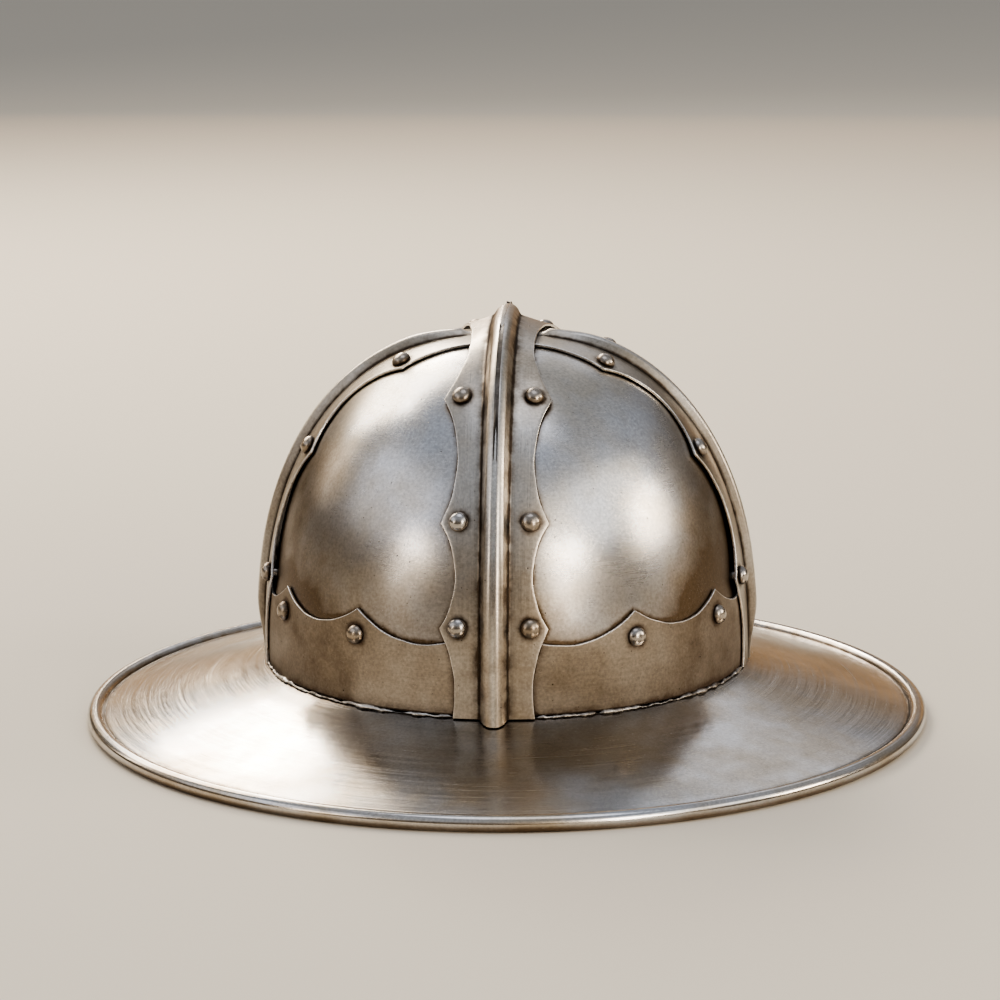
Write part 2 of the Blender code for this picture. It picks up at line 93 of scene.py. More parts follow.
def spaced(start: float, end: float, count: int) -> list[float]:
    """Values after start up to end, in count equal steps.

    Args:
        start: Value that the first step leaves from.
        end: Last value.
        count: Number of steps.

    Returns:
        The values.
    """
    return [start + (end - start) * step / count for step in range(1, count + 1)]


def linear(hex_colour: str) -> tuple[float, float, float, float]:
    """Turn an sRGB hex colour to linear.

    Args:
        hex_colour: Six hex digits.

    Returns:
        Linear red, green, blue and an alpha of 1.
    """
    parts = [int(hex_colour[index:index + 2], 16) / 255.0 for index in (0, 2, 4)]
    low = [part / 12.92 if part <= 0.04045 else ((part + 0.055) / 1.055) ** 2.4 for part in parts]
    return (*low, 1.0)


def around(radius: Array, turn: Array, height: Array) -> Array:
    """Points round the middle axis.

    Args:
        radius: Distances from the axis.
        turn: Turns from +X towards +Y, in radians.
        height: Heights.

    Returns:
        One point for each.
    """
    return np.stack(np.broadcast_arrays(radius * np.cos(turn), radius * np.sin(turn), height), -1)


def waviness(points: Array, length: float, seed: int) -> Array:
    """Slow hand-made unevenness, about -1 to 1, from a few crossing waves.

    Args:
        points: Points, with their coordinates in the last axis.
        length: Typical distance between two humps, in metres.
        seed: Picks the waves.

    Returns:
        One value for each point.
    """
    draw = np.random.default_rng(seed)
    total = np.zeros(points.shape[:-1])
    waves = 7
    for _ in range(waves):
        direction = draw.normal(size=3)
        direction /= np.linalg.norm(direction)
        pitch = length * draw.uniform(0.7, 1.6)
        total += np.sin(points @ direction * (FULL_TURN / pitch) + draw.uniform(0.0, FULL_TURN))
    return total / math.sqrt(waves)


def add_node(tree: Tree, kind: str, inputs: dict | list | tuple = (), **settings: object) -> Node:
    """Add a shader node with its settings and links.

    Args:
        tree: The node tree to add to.
        kind: Blender's name of the node type, after ShaderNode.
        inputs: Values to set and sockets to link from, in order or by the inputs' names. A node
            stands for its first output.
        settings: Properties of the node.

    Returns:
        The new node.
    """
    node = tree.nodes.new(f"ShaderNode{kind}")
    for name, value in settings.items():
        setattr(node, name, value)
    for key, value in inputs.items() if isinstance(inputs, dict) else enumerate(inputs):
        source = value.outputs[0] if isinstance(value, Node) else value
        if isinstance(source, bpy.types.NodeSocket):
            tree.links.new(source, node.inputs[key])
        else:
            node.inputs[key].default_value = source
    return node


@dataclass(frozen=True)
class CrownForm:
    """The crown's outer face: a full arch turned once round, then stretched along Y."""

    half_width: float = 0.1068
    foot_height: float = 0.0281
    rise: float = 0.1462
    fullness: float = 2.45
    length_over_width: float = 1.06
    on_axis: float = 1e-9
    halvings: int = 34

    def oval(self, points: Array) -> Array:
        """Stretch points of the round hat along Y; beyond the plates the stretch is a plain shift.

        Args:
            points: Points of the round hat.

        Returns:
            The same points in the oval plan.
        """
        radius = np.maximum(np.hypot(points[..., 0], points[..., 1]), self.on_axis)
        moved = points.copy()
        moved[..., 1] *= 1.0 + (self.length_over_width - 1.0) * np.minimum(1.0, self.half_width / radius)
        return moved

    def fill(self, radius: Array, height: Array) -> Array:
        """How far out to the face points are, 1 on it, from their radius and height over the foot."""
        across = (radius / self.half_width) ** self.fullness
        return across + (np.maximum(height, 0.0) / self.rise) ** self.fullness

    def normals(self, points: Array) -> Array:
        """Outward normals of the round crown.

        Args:
            points: Points of its face.

        Returns:
            One unit vector for each point.
        """
        radius = np.maximum(np.hypot(points[..., 0], points[..., 1]), self.on_axis)
        height = np.maximum(points[..., 2] - self.foot_height, 0.0)
        power = self.fullness - 1.0
        sideways = (radius / self.half_width) ** power / self.half_width / radius
        upward = (height / self.rise) ** power / self.rise
        normal = np.stack([sideways * points[..., 0], sideways * points[..., 1], upward], -1)
        return normal / np.linalg.norm(normal, axis=-1, keepdims=True)

    def rib(self, azimuth: float, climb: Array, across: Array) -> Array:
        """Points of the face over a rib's centre plane, moved across it.

        Args:
            azimuth: Turn of the rib's foot from +X towards +Y, in degrees.
            climb: Angles above the foot, in degrees.
            across: Distances from the rib's centre plane.

        Returns:
            Points of the round crown.
        """
        climb, across = np.broadcast_arrays(np.asarray(climb, float), np.asarray(across, float))
        turn = math.radians(azimuth)
        run, rise = np.cos(np.radians(climb)), np.sin(np.radians(climb))
        inside = np.zeros(climb.shape)
        outside = np.full(climb.shape, self.half_width + self.rise)
        for _ in range(self.halvings):
            middle = 0.5 * (inside + outside)
            under = self.fill(np.hypot(middle * run, across), middle * rise) < 1.0
            inside = np.where(under, middle, inside)
            outside = np.where(under, outside, middle)
        x = math.cos(turn) * inside * run - math.sin(turn) * across
        y = math.sin(turn) * inside * run + math.cos(turn) * across
        return np.stack([x, y, self.foot_height + inside * rise], -1)

    def level(self, azimuth: Array, height: Array) -> Array:
        """Points of the face, by their azimuth and height.

        Args:
            azimuth: Turns from +X towards +Y, in degrees.
            height: Heights above the crown's foot.

        Returns:
            Points of the round crown.
        """
        share = 1.0 - (np.maximum(height, 0.0) / self.rise) ** self.fullness
        radius = self.half_width * share ** (1.0 / self.fullness)
        return around(radius, np.radians(azimuth), self.foot_height + height)


@dataclass(frozen=True)
class Layers:
    """Sheet and the clearances that stack the crown's layers."""

    sheet: float = 0.0012
    layer_gap: float = 0.0005
    seat_gap: float = 0.0003
    seam_gap: float = 0.0006
    side_keel_end: float = 0.0010

    @property
    def first_out(self) -> float:
        """Height of a layer's face that lies right on the plates; the brim's collar is as far inside."""
        return self.layer_gap + self.sheet

    @property
    def second_out(self) -> float:
        """Height of a layer's face that lies on another over the plates."""
        return 2.0 * self.first_out

    @property
    def comb_lift(self) -> float:
        """How much higher the comb band stands where it crosses the side bands' ends."""
        return self.side_keel_end + self.first_out


CROWN = CrownForm()
LAYERS = Layers()


@dataclass(frozen=True)
class BrowScallops:
    """The brow band's upper edge: heights over the crown's foot, quarter by quarter.

    Each scallop has the azimuth share of the cusp that ends it and the share of the cusp height
    left at its low, from the comb (0) to the side band (1).
    """

    cusp_height: float = 0.0418
    rivet_height: float = 0.0305
    scallops: tuple[Span, ...] = ((0.383, 0.715), (0.702, 0.785), (1.0, 0.780))

    def cusps(self) -> list[float]:
        """Azimuth shares of the cusps in a quarter, with the one under the comb band."""
        return [0.0] + [cusp for cusp, _ in self.scallops]

    def top(self, azimuth: Array) -> Array:
        """Height of the edge over the crown's foot.

        Args:
            azimuth: Turns from +X towards +Y, in degrees.

        Returns:
            One height for each azimuth.
        """
        from_comb = np.abs((np.asarray(azimuth, float) + 90.0) % 180.0)
        share = np.minimum(from_comb, 180.0 - from_comb) / 90.0
        height = np.full(share.shape, self.cusp_height)
        start = 0.0
        for end, low in self.scallops:
            sway = 2.0 * (share - start) / (end - start) - 1.0
            arc = self.cusp_height * (low + (1.0 - low) * sway * sway)
            height = np.where((share >= start) & (share <= end), arc, height)
            start = end
        return height


@dataclass(frozen=True)
class BandForm:
    """A band over the crown: scalloped flanges and a keel along the middle.

    pairs holds the climb of each rivet pair, in degrees from the band's foot; far_pairs holds
    those of the far end, for a band that goes right over.
    """

    waist: float
    cusp: float
    rivet_offset: float
    keel_height: float
    keel_end_height: float
    keel_foot: float
    keel_ridge: float
    pairs: tuple[float, ...]
    off_brow: Span
    far_pairs: tuple[float, ...] = ()
    top_waist: Span | None = None
    end_climb: float = 180.0
    keel_fade: tuple[float, float, float, float] | None = None
    keel_low_height: float = 0.0
    keel_growth: Span | None = None
    lift_from_apex: Span | None = None
    tent_height: float = 0.0
    tent_from_apex: Span = (5.0, 15.5)
    hidden_foot_cusp: float = -9.0

    def cusps(self) -> list[float]:
        """Where the flanges are widest.

        Returns:
            The climbs in degrees, end to end.
        """
        far = [180.0 - pair for pair in self.far_pairs][::-1] or [180.0 - self.pairs[-1]]
        tail = [180.0 - self.hidden_foot_cusp] if self.far_pairs else []
        return [self.hidden_foot_cusp, *self.pairs, *far, *tail]

    def width(self, climb: Array) -> Array:
        """Half width of the flanges, in hollow arcs from cusp to cusp.

        Args:
            climb: Angles above the foot, in degrees.

        Returns:
            One half width for each climb.
        """
        climb = np.asarray(climb, float)
        width = np.full(climb.shape, self.cusp)
        cusps = self.cusps()
        for start, end in zip(cusps, cusps[1:]):
            low, waist = 0.5 * (start + end), self.waist
            if self.top_waist and start < self.top_waist[0] < end:
                low, waist = self.top_waist
            share = (climb - low) / np.where(climb < low, low - start, end - low)
            arc = waist + (self.cusp - waist) * share * share
            width = np.where((climb >= start) & (climb <= end), arc, width)
        return width

    def out(self, climb: Array) -> Array:
        """Height of the flanges over the plates.

        Args:
            climb: Angles above the foot, in degrees.

        Returns:
            One height for each climb.
        """
        from_apex = np.abs(np.asarray(climb, float) - 90.0)
        down = smooth_share(90.0 - from_apex, *self.off_brow)
        out = LAYERS.second_out + (LAYERS.first_out - LAYERS.second_out) * down
        if self.lift_from_apex is None:
            return out
        return out + LAYERS.comb_lift * (1.0 - smooth_share(from_apex, *self.lift_from_apex))

    def keel(self, climb: Array) -> Array:
        """Height of the keel over the flanges.

        Args:
            climb: Angles above the foot, in degrees.

        Returns:
            One height for each climb.
        """
        if self.keel_growth:
            height = self.keel_height
            share = 1.0 - smooth_share(np.abs(climb - 90.0), *self.keel_growth)
        else:
            foot_over, sink_start, sink_end, down = self.keel_fade
            sunk = smooth_share(climb, sink_start, sink_end)
            height = self.keel_height + (self.keel_low_height - self.keel_height) * sunk
            share = smooth_share(climb, 0.0, foot_over) * (1.0 - smooth_share(climb, sink_end, down))
        return self.keel_end_height + (height - self.keel_end_height) * share

    def tent(self, climb: Array) -> Array:
        """How far the flanges rise towards the keel at climbs in degrees."""
        return self.tent_height * (1.0 - smooth_share(np.abs(climb - 90.0), *self.tent_from_apex))


BROW = BrowScallops()
COMB = BandForm(
    waist=0.0163, cusp=0.0228, rivet_offset=0.0152, keel_height=0.0078, keel_end_height=0.0050,
    keel_foot=0.0060, keel_ridge=0.0030, pairs=(20.1, 41.0, 64.4), off_brow=(24.0, 42.0),
    far_pairs=(20.1, 42.5, 72.5), top_waist=(78.5, 0.0138), keel_growth=(15.0, 55.0),
    lift_from_apex=(16.0, 42.0), tent_height=0.0034,
)
SIDE = BandForm(
    waist=0.0185, cusp=0.0272, rivet_offset=0.0203, keel_height=0.0044,
    keel_end_height=LAYERS.side_keel_end, keel_foot=0.0042, keel_ridge=0.0016,
    pairs=(21.9, 49.2, 71.9), off_brow=(24.0, 64.0), keel_low_height=0.0030,
    end_climb=90.0 - math.degrees(math.atan2(0.0080, CROWN.rise)), keel_fade=(14.0, 73.0, 82.2, 83.2),
)
QUARTERS = {"front_right": -90.0, "back_right": 0.0, "back_left": 90.0, "front_left": 180.0}
STARTS_AT_COMB = ("front_right", "back_left")


@dataclass(frozen=True)
class RivetSeat:
    """Where a rivet sits: its point of the round crown and the layers under its head."""

    name: str
    point: Place
    out: float
    collar: float = 0.0

    def axis(self) -> Array:
        """Outward direction of the rivet in the oval plan."""
        normal = CROWN.normals(np.array(self.point)) / (1.0, CROWN.length_over_width, 1.0)
        return normal / np.linalg.norm(normal)

    def place(self) -> Array:
        """Middle of the rivet head's flat underside."""
        point = np.array(self.point)
        return CROWN.oval(point + CROWN.normals(point) * (self.out + LAYERS.seat_gap))


def rivet_seats() -> list[RivetSeat]:
    """Every rivet of the hat.

    Returns:
        The seats, named as the frame's nodes.
    """
    rows = (
        ("comb_front", COMB, COMB.pairs, -90.0, {"left": -1.0, "right": 1.0}),
        ("comb_back", COMB, COMB.far_pairs, 90.0, {"left": 1.0, "right": -1.0}),
        ("side_right", SIDE, SIDE.pairs, 0.0, {"front": -1.0, "back": 1.0}),
        ("side_left", SIDE, SIDE.pairs, 180.0, {"front": 1.0, "back": -1.0}),
    )
    seats = []
    for row, form, pairs, azimuth, sides in rows:
        for number, climb in enumerate(pairs, start=1):
            for side, turn in sides.items():
                point = CROWN.rib(azimuth, climb, form.rivet_offset * turn)
                seats.append(RivetSeat(f"rivet_{row}_{side}_{number}", tuple(point), float(form.out(climb))))
    for quarter, first in QUARTERS.items():
        for number, cusp in enumerate(BROW.cusps()[1:-1], start=1):
            azimuth = first + 90.0 * (cusp if quarter in STARTS_AT_COMB else 1.0 - cusp)
            point = tuple(CROWN.level(azimuth, BROW.rivet_height))
            seats.append(RivetSeat(f"rivet_brow_{quarter}_{number}", point, *[LAYERS.first_out] * 2))
    return seats


RIVET_SEATS = rivet_seats()
RIVET_PLACES = np.array([seat.place() for seat in RIVET_SEATS])


def rivet_distance(points: Array) -> Array:
    """Distance in millimetres from points of the oval hat to the nearest rivet's middle."""
    return np.min([np.linalg.norm(points - place, axis=-1) for place in RIVET_PLACES], axis=0) / MM


def beside_bands(points: Array) -> Array:
    """Distance out to the nearest edge of the bands over the crown, in millimetres.

    Args:
        points: Points of the round crown.

    Returns:
        Positive beside the bands, negative under one.
    """
    x, y = points[..., 0], points[..., 1]
    rise = np.maximum(points[..., 2] - CROWN.foot_height, 0.0)
    beside_comb = np.abs(x) - COMB.width(np.degrees(np.arctan2(rise, -y)))
    beside_side = np.abs(y) - SIDE.width(np.degrees(np.arctan2(rise, np.abs(x))))
    return np.minimum(beside_comb, beside_side) / MM


def inner_face(outer: Array) -> Array:
    """Inner face of a sheet.

    Args:
        outer: Section of its outer face, two values for each point.

    Returns:
        As many points, one thickness of the sheet inside.
    """
    along = np.gradient(outer, axis=0)
    along /= np.linalg.norm(along, axis=1, keepdims=True)
    return outer + np.stack([along[:, 1], -along[:, 0]], -1) * LAYERS.sheet


@dataclass
class Shell:
    """A closed sheet of metal, as rings of points that run once round its section.

    rings has the shape (stations, points of a section, 3). marks holds what the finishes read:
    grain, a vector for each point that brush lines follow, and the distances recess_mm, rivet_mm
    and edge_mm, far where not given. under is the share of each section that is the inner face.
    """

    name: str
    rings: Array
    marks: dict[str, Array]
    under: tuple[int, int]
    looped: bool = False
    sharp_angle: float = 50.0

    def faces(self) -> tuple[Array, Array]:
        """Quads between neighbouring rings, and caps at both ends where the rings don't loop.

        Returns:
            Corner numbers of each quad, and which of the two finishes each takes.
        """
        stations, count = self.rings.shape[:2]
        last = stations if self.looped else stations - 1
        station, column = np.arange(last)[:, None], np.arange(count)[None, :]
        row, next_row = station * count, (station + 1) % stations * count
        beside = (column + 1) % count
        corners = [row + column, row + beside, next_row + beside, next_row + column]
        quads = np.stack(corners, -1).reshape(-1, 4)
        inner = (column >= self.under[0]) & (column < self.under[1])
        finish = np.broadcast_to(inner, (last, count)).reshape(-1).astype(np.int32)
        if self.looped:
            return quads, finish
        pair = np.arange(count // 2 - 1)
        cap = np.stack([pair, count - 1 - pair, count - 2 - pair, pair + 1], -1)
        far = cap[:, ::-1] + (stations - 1) * count
        return np.concatenate([quads, cap, far]), np.concatenate([finish, np.zeros(2 * len(cap), np.int32)])

    def mesh(self) -> bpy.types.Mesh:
        """Make the mesh, with its marks.

        Returns:
            The mesh, without finishes.
        """
        corners = self.rings.reshape(-1, 3)
        quads, finish = self.faces()
        a, b, c, d = (corners[quads[:, index]] for index in range(4))
        volume = np.einsum("ij,ij->", a, np.cross(b, c)) + np.einsum("ij,ij->", a, np.cross(c, d))
        mesh = bpy.data.meshes.new(self.name)
        mesh.from_pydata(corners.tolist(), [], (quads[:, ::-1] if volume < 0.0 else quads).tolist())
        mesh.polygons.foreach_set("material_index", finish)
        for label, values in {"rivet_mm": FAR_MM, "edge_mm": FAR_MM, **self.marks}.items():
            kind, key, width = ("FLOAT_VECTOR", "vector", 3) if label == "grain" else ("FLOAT", "value", 2)
            filled = np.broadcast_to(values, self.rings.shape[:width])
            layer = mesh.attributes.new(label, kind, "POINT")
            layer.data.foreach_set(key, filled.astype(np.float32).reshape(-1))
        mesh.validate()
        mesh.shade_smooth()
        mesh.set_sharp_from_angle(angle=math.radians(self.sharp_angle))
        return mesh

    def dress(self, slot: Slot, finishes: list["AgedSteel"], *nodes: str) -> None:
        """Make the piece, ride it on the hat and report it.

        Args:
            slot: The record's slot; not used.
            finishes: Those of the outer face and of the inner face.
            nodes: The frame's nodes that it stands for.
        """
        piece = bpy.data.objects.new(self.name, self.mesh())
        for finish in finishes:
            piece.data.materials.append(bpy.data.materials.get(finish.name) or finish.build())
        bpy.context.scene.collection.objects.link(piece)
        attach(piece, BODY)
        if nodes:
            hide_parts(*nodes)
        LOG.info("%s: %d faces", piece.name, len(piece.data.polygons))


@dataclass(frozen=True)
class AgedSteel:
    """Bare mild steel, brushed or polished by hand, with brown stains, and darkened by painted shade in
    joints, corners, round rivets, low down and on the flanks; low down and on the flanks this also paints the
    reflection of a brown floor.

    Sizes are in metres unless a name says mm. Brushing and pits on a real hat are finer than a
    pixel of the render, so both are drawn two to four times coarser than they are. A span holds
    the pattern's values that become the least and the most. brush_layers holds how much coarser
    each layer of lines is than brush_pitch, and its contrast.
    """

    name: str
    steel: str
    warm: str
    # Brown colour of stains, also laid as painted shade and a painted reflection.
    patina_and_shade: str
    # The colour of pits, also laid as a painted black shadow in the joints.
    pit_and_gap_shadow: str = "1c1612"
    edge: str = "f1ece4"
    roughness: float = 0.30
    least_roughness: float = 0.12
    brushed_round: Axis = Axis.UP
    anisotropic: float = 0.4
    brush_pitch: float = 0.0005
    brush_length: float = 0.040
    brush_depth: float = 0.0000035
    brush_shine: float = 0.10
    brush_tone: float = 0.13
    brush_layers: tuple[Span, ...] = ((1.0, 2.4), (3.1, 0.9))
    dent_size: float = 0.030
    dent_depth: float = 0.00008
    cloud_size: float = 0.050
    cloud_span: Span = (0.36, 0.64)
    stain_size: float = 0.008
    stain_span: Span = (0.40, 0.66)
    stain: float = 0.35
    # Painted shade with some brown oxide in the corners by the bands, at keel feet, at the crown's foot and
    # at dome feet, within this reach.
    recess_reach_mm: float = 2.5
    recess: float = 0.9
    # Painted shade: a dark line right at the band edges and the keel feet, where the gap is shaded.
    crease_shade_reach_mm: float = 0.9
    crease_shade: float = 0.8
    # Painted shade: a near-black painted shadow in the joints, within this reach.
    gap_shadow_reach_mm: float = 0.9
    gap_shadow: float = 0.8
    speckle_size: float = 0.0013
    speckle: float = 0.85
    # Painted shade: a dark ring round each rivet, from its foot out to the reach below.
    rivet_foot_mm: float = 3.6
    rivet_reach_mm: float = 8.5
    rivet: float = 0.5
    most_patina_and_shade: float = 0.95
    # Painted shade darker towards the bottom; on the crown it stands for a painted reflection of a brown
    # floor.
    low_painted_shade: float = 0.0
    low_shade_heights: Span = (0.100, 0.038)
    # Painted shade towards the left and right sides of the crown, standing for darker reflections there.
    flank_painted_shade: float = 0.0
    flank_shade_reach: Span = (0.066, 0.100)
    pit_spacing: float = 0.0030
    pit_share: float = 0.10
    pit_rim: Span = (0.06, 0.14)
    pit_depth: float = 0.00006
    scratch: float = 0.35
    scratch_depth: float = 0.000012
    scratch_span: Span = (0.72, 0.82)
    scratch_scale: Place = (28.0, 2300.0, 2300.0)
    scratch_tilts: tuple[Place, ...] = ((0.2, 0.5, 0.4), (1.1, -0.4, 1.9), (-0.6, 0.9, 2.8))
    # Bright colour on cut edges as wear, and on keel ridges partly as wear, partly as a painted highlight.
    edge_reach_mm: float = 0.55
    edge_wear_and_highlight: float = 0.9

    def build(self) -> bpy.types.Material:
        """Make the material.

        Returns:
            The material, with all its nodes.
        """
        material = bpy.data.materials.new(self.name)
        material.use_nodes = True
        tree = material.node_tree
        shader = tree.nodes["Principled BSDF"]
        shader.inputs["Metallic"].default_value = 1.0
        shader.inputs["Anisotropic"].default_value = self.anisotropic
        nodes = SteelNodes(self, tree)
        nodes.read_marks()
        nodes.brush()
        nodes.spread_patina()
        nodes.scatter_pits()
        nodes.scratch()
        nodes.wear_edges_and_paint_ridges()
        ends = {
            "Tangent": add_node(tree, "Tangent", direction_type="RADIAL", axis=self.brushed_round.value),
            "Base Color": nodes.colour(), "Roughness": nodes.shine(), "Normal": nodes.relief(),
        }
        for name, node in ends.items():
            tree.links.new(node.outputs[0], shader.inputs[name])
        return material


@dataclass
class SteelNodes:
    """The nodes of one finish, with the shares of the surface that they have worked out so far."""

    steel: AgedSteel
    tree: Tree
    shares: dict[str, bpy.types.NodeSocket | Node] = field(default_factory=dict)

    def summed(self, total: Node | float, amounts: dict[str, float]) -> Node:
        """Add shares up.

        Args:
            total: What the sum starts from.
            amounts: For a share's name, how much of it to add.

        Returns:
            The sum.
        """
        for label, amount in amounts.items():
            total = add_node(self.tree, "Math", [self.shares[label], amount, total], operation="MULTIPLY_ADD")
        return total

    def read_marks(self) -> None:
        """Read the place and the distances, and spread noise of four sizes and a painted black shadow in the
        joints.
        """
        steel, shares, tree = self.steel, self.shares, self.tree
        shares["place"] = add_node(tree, "TexCoord").outputs["Object"]
        for label in ("recess_mm", "rivet_mm", "edge_mm"):
            shares[label] = add_node(tree, "Attribute", attribute_name=label).outputs["Fac"]
        noises = (
            ("clouds", steel.cloud_size, 3.0, 0.62), ("stains", steel.stain_size, 6.0, 0.62),
            ("speckles", steel.speckle_size, 2.0, 0.6), ("dents", steel.dent_size, 2.0, 0.45),
        )
        for label, size, detail, roughness in noises:
            shares[label] = add_node(tree, "TexNoise", {
                "Vector": shares["place"], "Scale": 1.0 / size, "Detail": detail, "Roughness": roughness})
        spreads = {
            "clouds": [shares["clouds"], *steel.cloud_span],
            "stains": [shares["stains"], *steel.stain_span],
            "gap_shadow": [shares["recess_mm"], 0.0, steel.gap_shadow_reach_mm, steel.gap_shadow, 0.0],
        }
        for label, spread in spreads.items():
            shares[label] = add_node(tree, "MapRange", spread)

    def brush(self) -> None:
        """Draw brush lines, about -1 to 1, fine ones with broader ones among them."""
        grain = add_node(self.tree, "Attribute", attribute_name="grain").outputs["Vector"]
        lines = []
        for coarser, contrast in self.steel.brush_layers:
            run, pitch = 1.0 / self.steel.brush_length, 1.0 / (self.steel.brush_pitch * coarser)
            stretched = add_node(self.tree, "Mapping", {"Vector": grain, "Scale": (run, run, pitch)})
            noise = add_node(self.tree, "TexNoise", {
                "Vector": stretched, "Scale": 1.0, "Detail": 2.0, "Roughness": 0.6})
            centred = [noise, contrast, -0.5 * contrast]
            lines.append(add_node(self.tree, "Math", centred, operation="MULTIPLY_ADD"))
        self.shares["brushing"] = add_node(self.tree, "Math", lines, operation="ADD")

    def spread_patina(self) -> None:
        """Spread brown colour: stains, painted shade with some brown oxide in corners and round rivets, and
        painted shade with a painted reflection of a brown floor low on the crown and on its flanks.
        """
        steel, shares, tree = self.steel, self.shares, self.tree
        apart = add_node(tree, "SeparateXYZ", [shares["place"]]).outputs
        flank = add_node(tree, "Math", [apart["X"]], operation="ABSOLUTE")
        fine, broad = self.summed(0.45, {"stains": 0.7}), self.summed(0.8, {"clouds": 0.35})
        total = add_node(tree, "Math", [shares["stains"], shares["clouds"]], operation="MULTIPLY")
        total = add_node(tree, "Math", [total, steel.stain], operation="MULTIPLY")
        low_end, low_start = steel.low_shade_heights
        # Recess, rivet and the term after it are painted shade with some brown oxide; the low and flank terms
        # are painted shade and a painted reflection of a brown floor.
        terms = (
            ([shares["recess_mm"], 0.0, steel.recess_reach_mm, 1.0, 0.0], steel.recess, fine),
            ([shares["recess_mm"], 0.1, steel.crease_shade_reach_mm, 1.0, 0.0], steel.crease_shade, fine),
            ([shares["rivet_mm"], steel.rivet_foot_mm, steel.rivet_reach_mm, 1.0, 0.0], steel.rivet, fine),
            ([apart["Z"], low_start, low_end, 1.0, 0.0], steel.low_painted_shade, broad),
            ([flank, *steel.flank_shade_reach, 0.0, 1.0], steel.flank_painted_shade, broad),
        )
        for fade, amount, mottle in terms:
            share = add_node(tree, "MapRange", fade, interpolation_type="SMOOTHSTEP")
            share = add_node(tree, "Math", [share, mottle], operation="MULTIPLY")
            total = add_node(tree, "Math", [share, amount, total], operation="MULTIPLY_ADD")
        shares["patina_and_shade"] = add_node(tree, "Math", [total, steel.most_patina_and_shade], operation="MINIMUM")

    def scatter_pits(self) -> None:
        """Scatter rust pits a few tenths of a millimetre across, more of them in the stains."""
        steel, shares, tree = self.steel, self.shares, self.tree
        cells = add_node(tree, "TexVoronoi", {"Vector": shares["place"], "Scale": 1.0 / steel.pit_spacing})
        dot = add_node(tree, "MapRange", [cells, *steel.pit_rim, 1.0, 0.0])
        drawn = [cells.outputs["Color"], 1.0 - steel.pit_share]
        chosen = add_node(tree, "Math", drawn, operation="GREATER_THAN")
        dot = add_node(tree, "Math", [dot, chosen], operation="MULTIPLY")
        stained = [shares["stains"], 0.9, 0.25]
        gather = add_node(tree, "Math", stained, operation="MULTIPLY_ADD", use_clamp=True)
        shares["pits"] = add_node(tree, "Math", [dot, gather], operation="MULTIPLY")

    def scratch(self) -> None:
        """Draw sparse fine scratches in three directions."""
        steel, tree = self.steel, self.tree
        total = 0.0
        for tilt in steel.scratch_tilts:
            turned = add_node(tree, "Mapping", {
                "Vector": self.shares["place"], "Rotation": tilt, "Scale": steel.scratch_scale})
            noise = add_node(tree, "TexNoise", {"Vector": turned, "Scale": 1.0, "Detail": 1.0})
            line = add_node(tree, "MapRange", [noise, *steel.scratch_span])
            total = add_node(tree, "Math", [total, line], operation="MAXIMUM")
        self.shares["scratches"] = add_node(tree, "Math", [total, steel.scratch], operation="MULTIPLY")

    def wear_edges_and_paint_ridges(self) -> None:
        """Rub the cut edges bright, in broken lengths, and paint a highlight along the keels' ridges."""
        near = [self.shares["edge_mm"], 0.0, self.steel.edge_reach_mm, self.steel.edge_wear_and_highlight, 0.0]
        broken = [add_node(self.tree, "MapRange", near), self.summed(1.0, {"stains": -0.45})]
        self.shares["worn_and_ridge_highlight"] = add_node(self.tree, "Math", broken, operation="MULTIPLY")

    def colour(self) -> Node:
        """Lay the colours, each coat over those before it, then brush lines and speckles.

        Returns:
            The colour.
        """
        steel = self.steel
        # The colour of pits is laid again in the joints as a painted black shadow.
        coats = {"clouds": steel.warm, "patina_and_shade": steel.patina_and_shade, "gap_shadow": steel.pit_and_gap_shadow, "pits": steel.pit_and_gap_shadow,
                 "scratches": steel.edge, "worn_and_ridge_highlight": steel.edge}
        below = linear(steel.steel)
        for label, coat in coats.items():
            inputs = {0: self.shares[label], 6: below, 7: linear(coat)}
            below = add_node(self.tree, "Mix", inputs, data_type="RGBA").outputs[2]
        tones = {"speckles": steel.speckle, "brushing": steel.brush_tone}
        tone = self.summed(1.0 - 0.5 * steel.speckle, tones)
        return add_node(self.tree, "VectorMath", [below, tone], operation="MULTIPLY")

    def shine(self) -> Node:
        """Roughness: duller under stains and painted shade and in pits, glossier on rubbed edges and the
        painted ridge highlight.

        Returns:
            The roughness.
        """
        rougher = {"clouds": 0.06, "patina_and_shade": 0.16, "pits": 0.25, "scratches": 0.10, "worn_and_ridge_highlight": -0.10,
                   "brushing": self.steel.brush_shine}
        total = self.summed(self.steel.roughness, rougher)
        return add_node(self.tree, "Math", [total, self.steel.least_roughness], operation="MAXIMUM")

    def relief(self) -> Node:
        """Depth, in metres, of brushing, pits, scratches and planishing marks.

        Returns:
            The bumped normal.
        """
        steel = self.steel
        depths = {"brushing": steel.brush_depth, "pits": -steel.pit_depth, "scratches": -steel.scratch_depth,
                  "dents": steel.dent_depth}
        height = self.summed(0.0, depths)
        return add_node(self.tree, "Bump", {"Height": height, "Distance": 1.0, "Strength": 1.0})


# Mild steel sheet, spun and satin-brushed round the hat: cool grey, with fans of light across the lines
# Painted shade darkens the bead's lower half, the corner at the crown's foot and the groove by the bead.
SPUN_BRIM_STEEL = AgedSteel(
    name="spun_satin_mild_steel", steel="cdcac7", warm="b9ac99", patina_and_shade="76634d", roughness=0.165,
    anisotropic=0.62, brush_length=0.060, brush_depth=0.0000011, recess_reach_mm=4.0, recess=0.5,
    low_painted_shade=0.85, low_shade_heights=(0.0040, 0.0016), stain=0.15, pit_share=0.05, edge_wear_and_highlight=0.0,
    dent_depth=0.00006, dent_size=0.045, speckle=0.6,
)
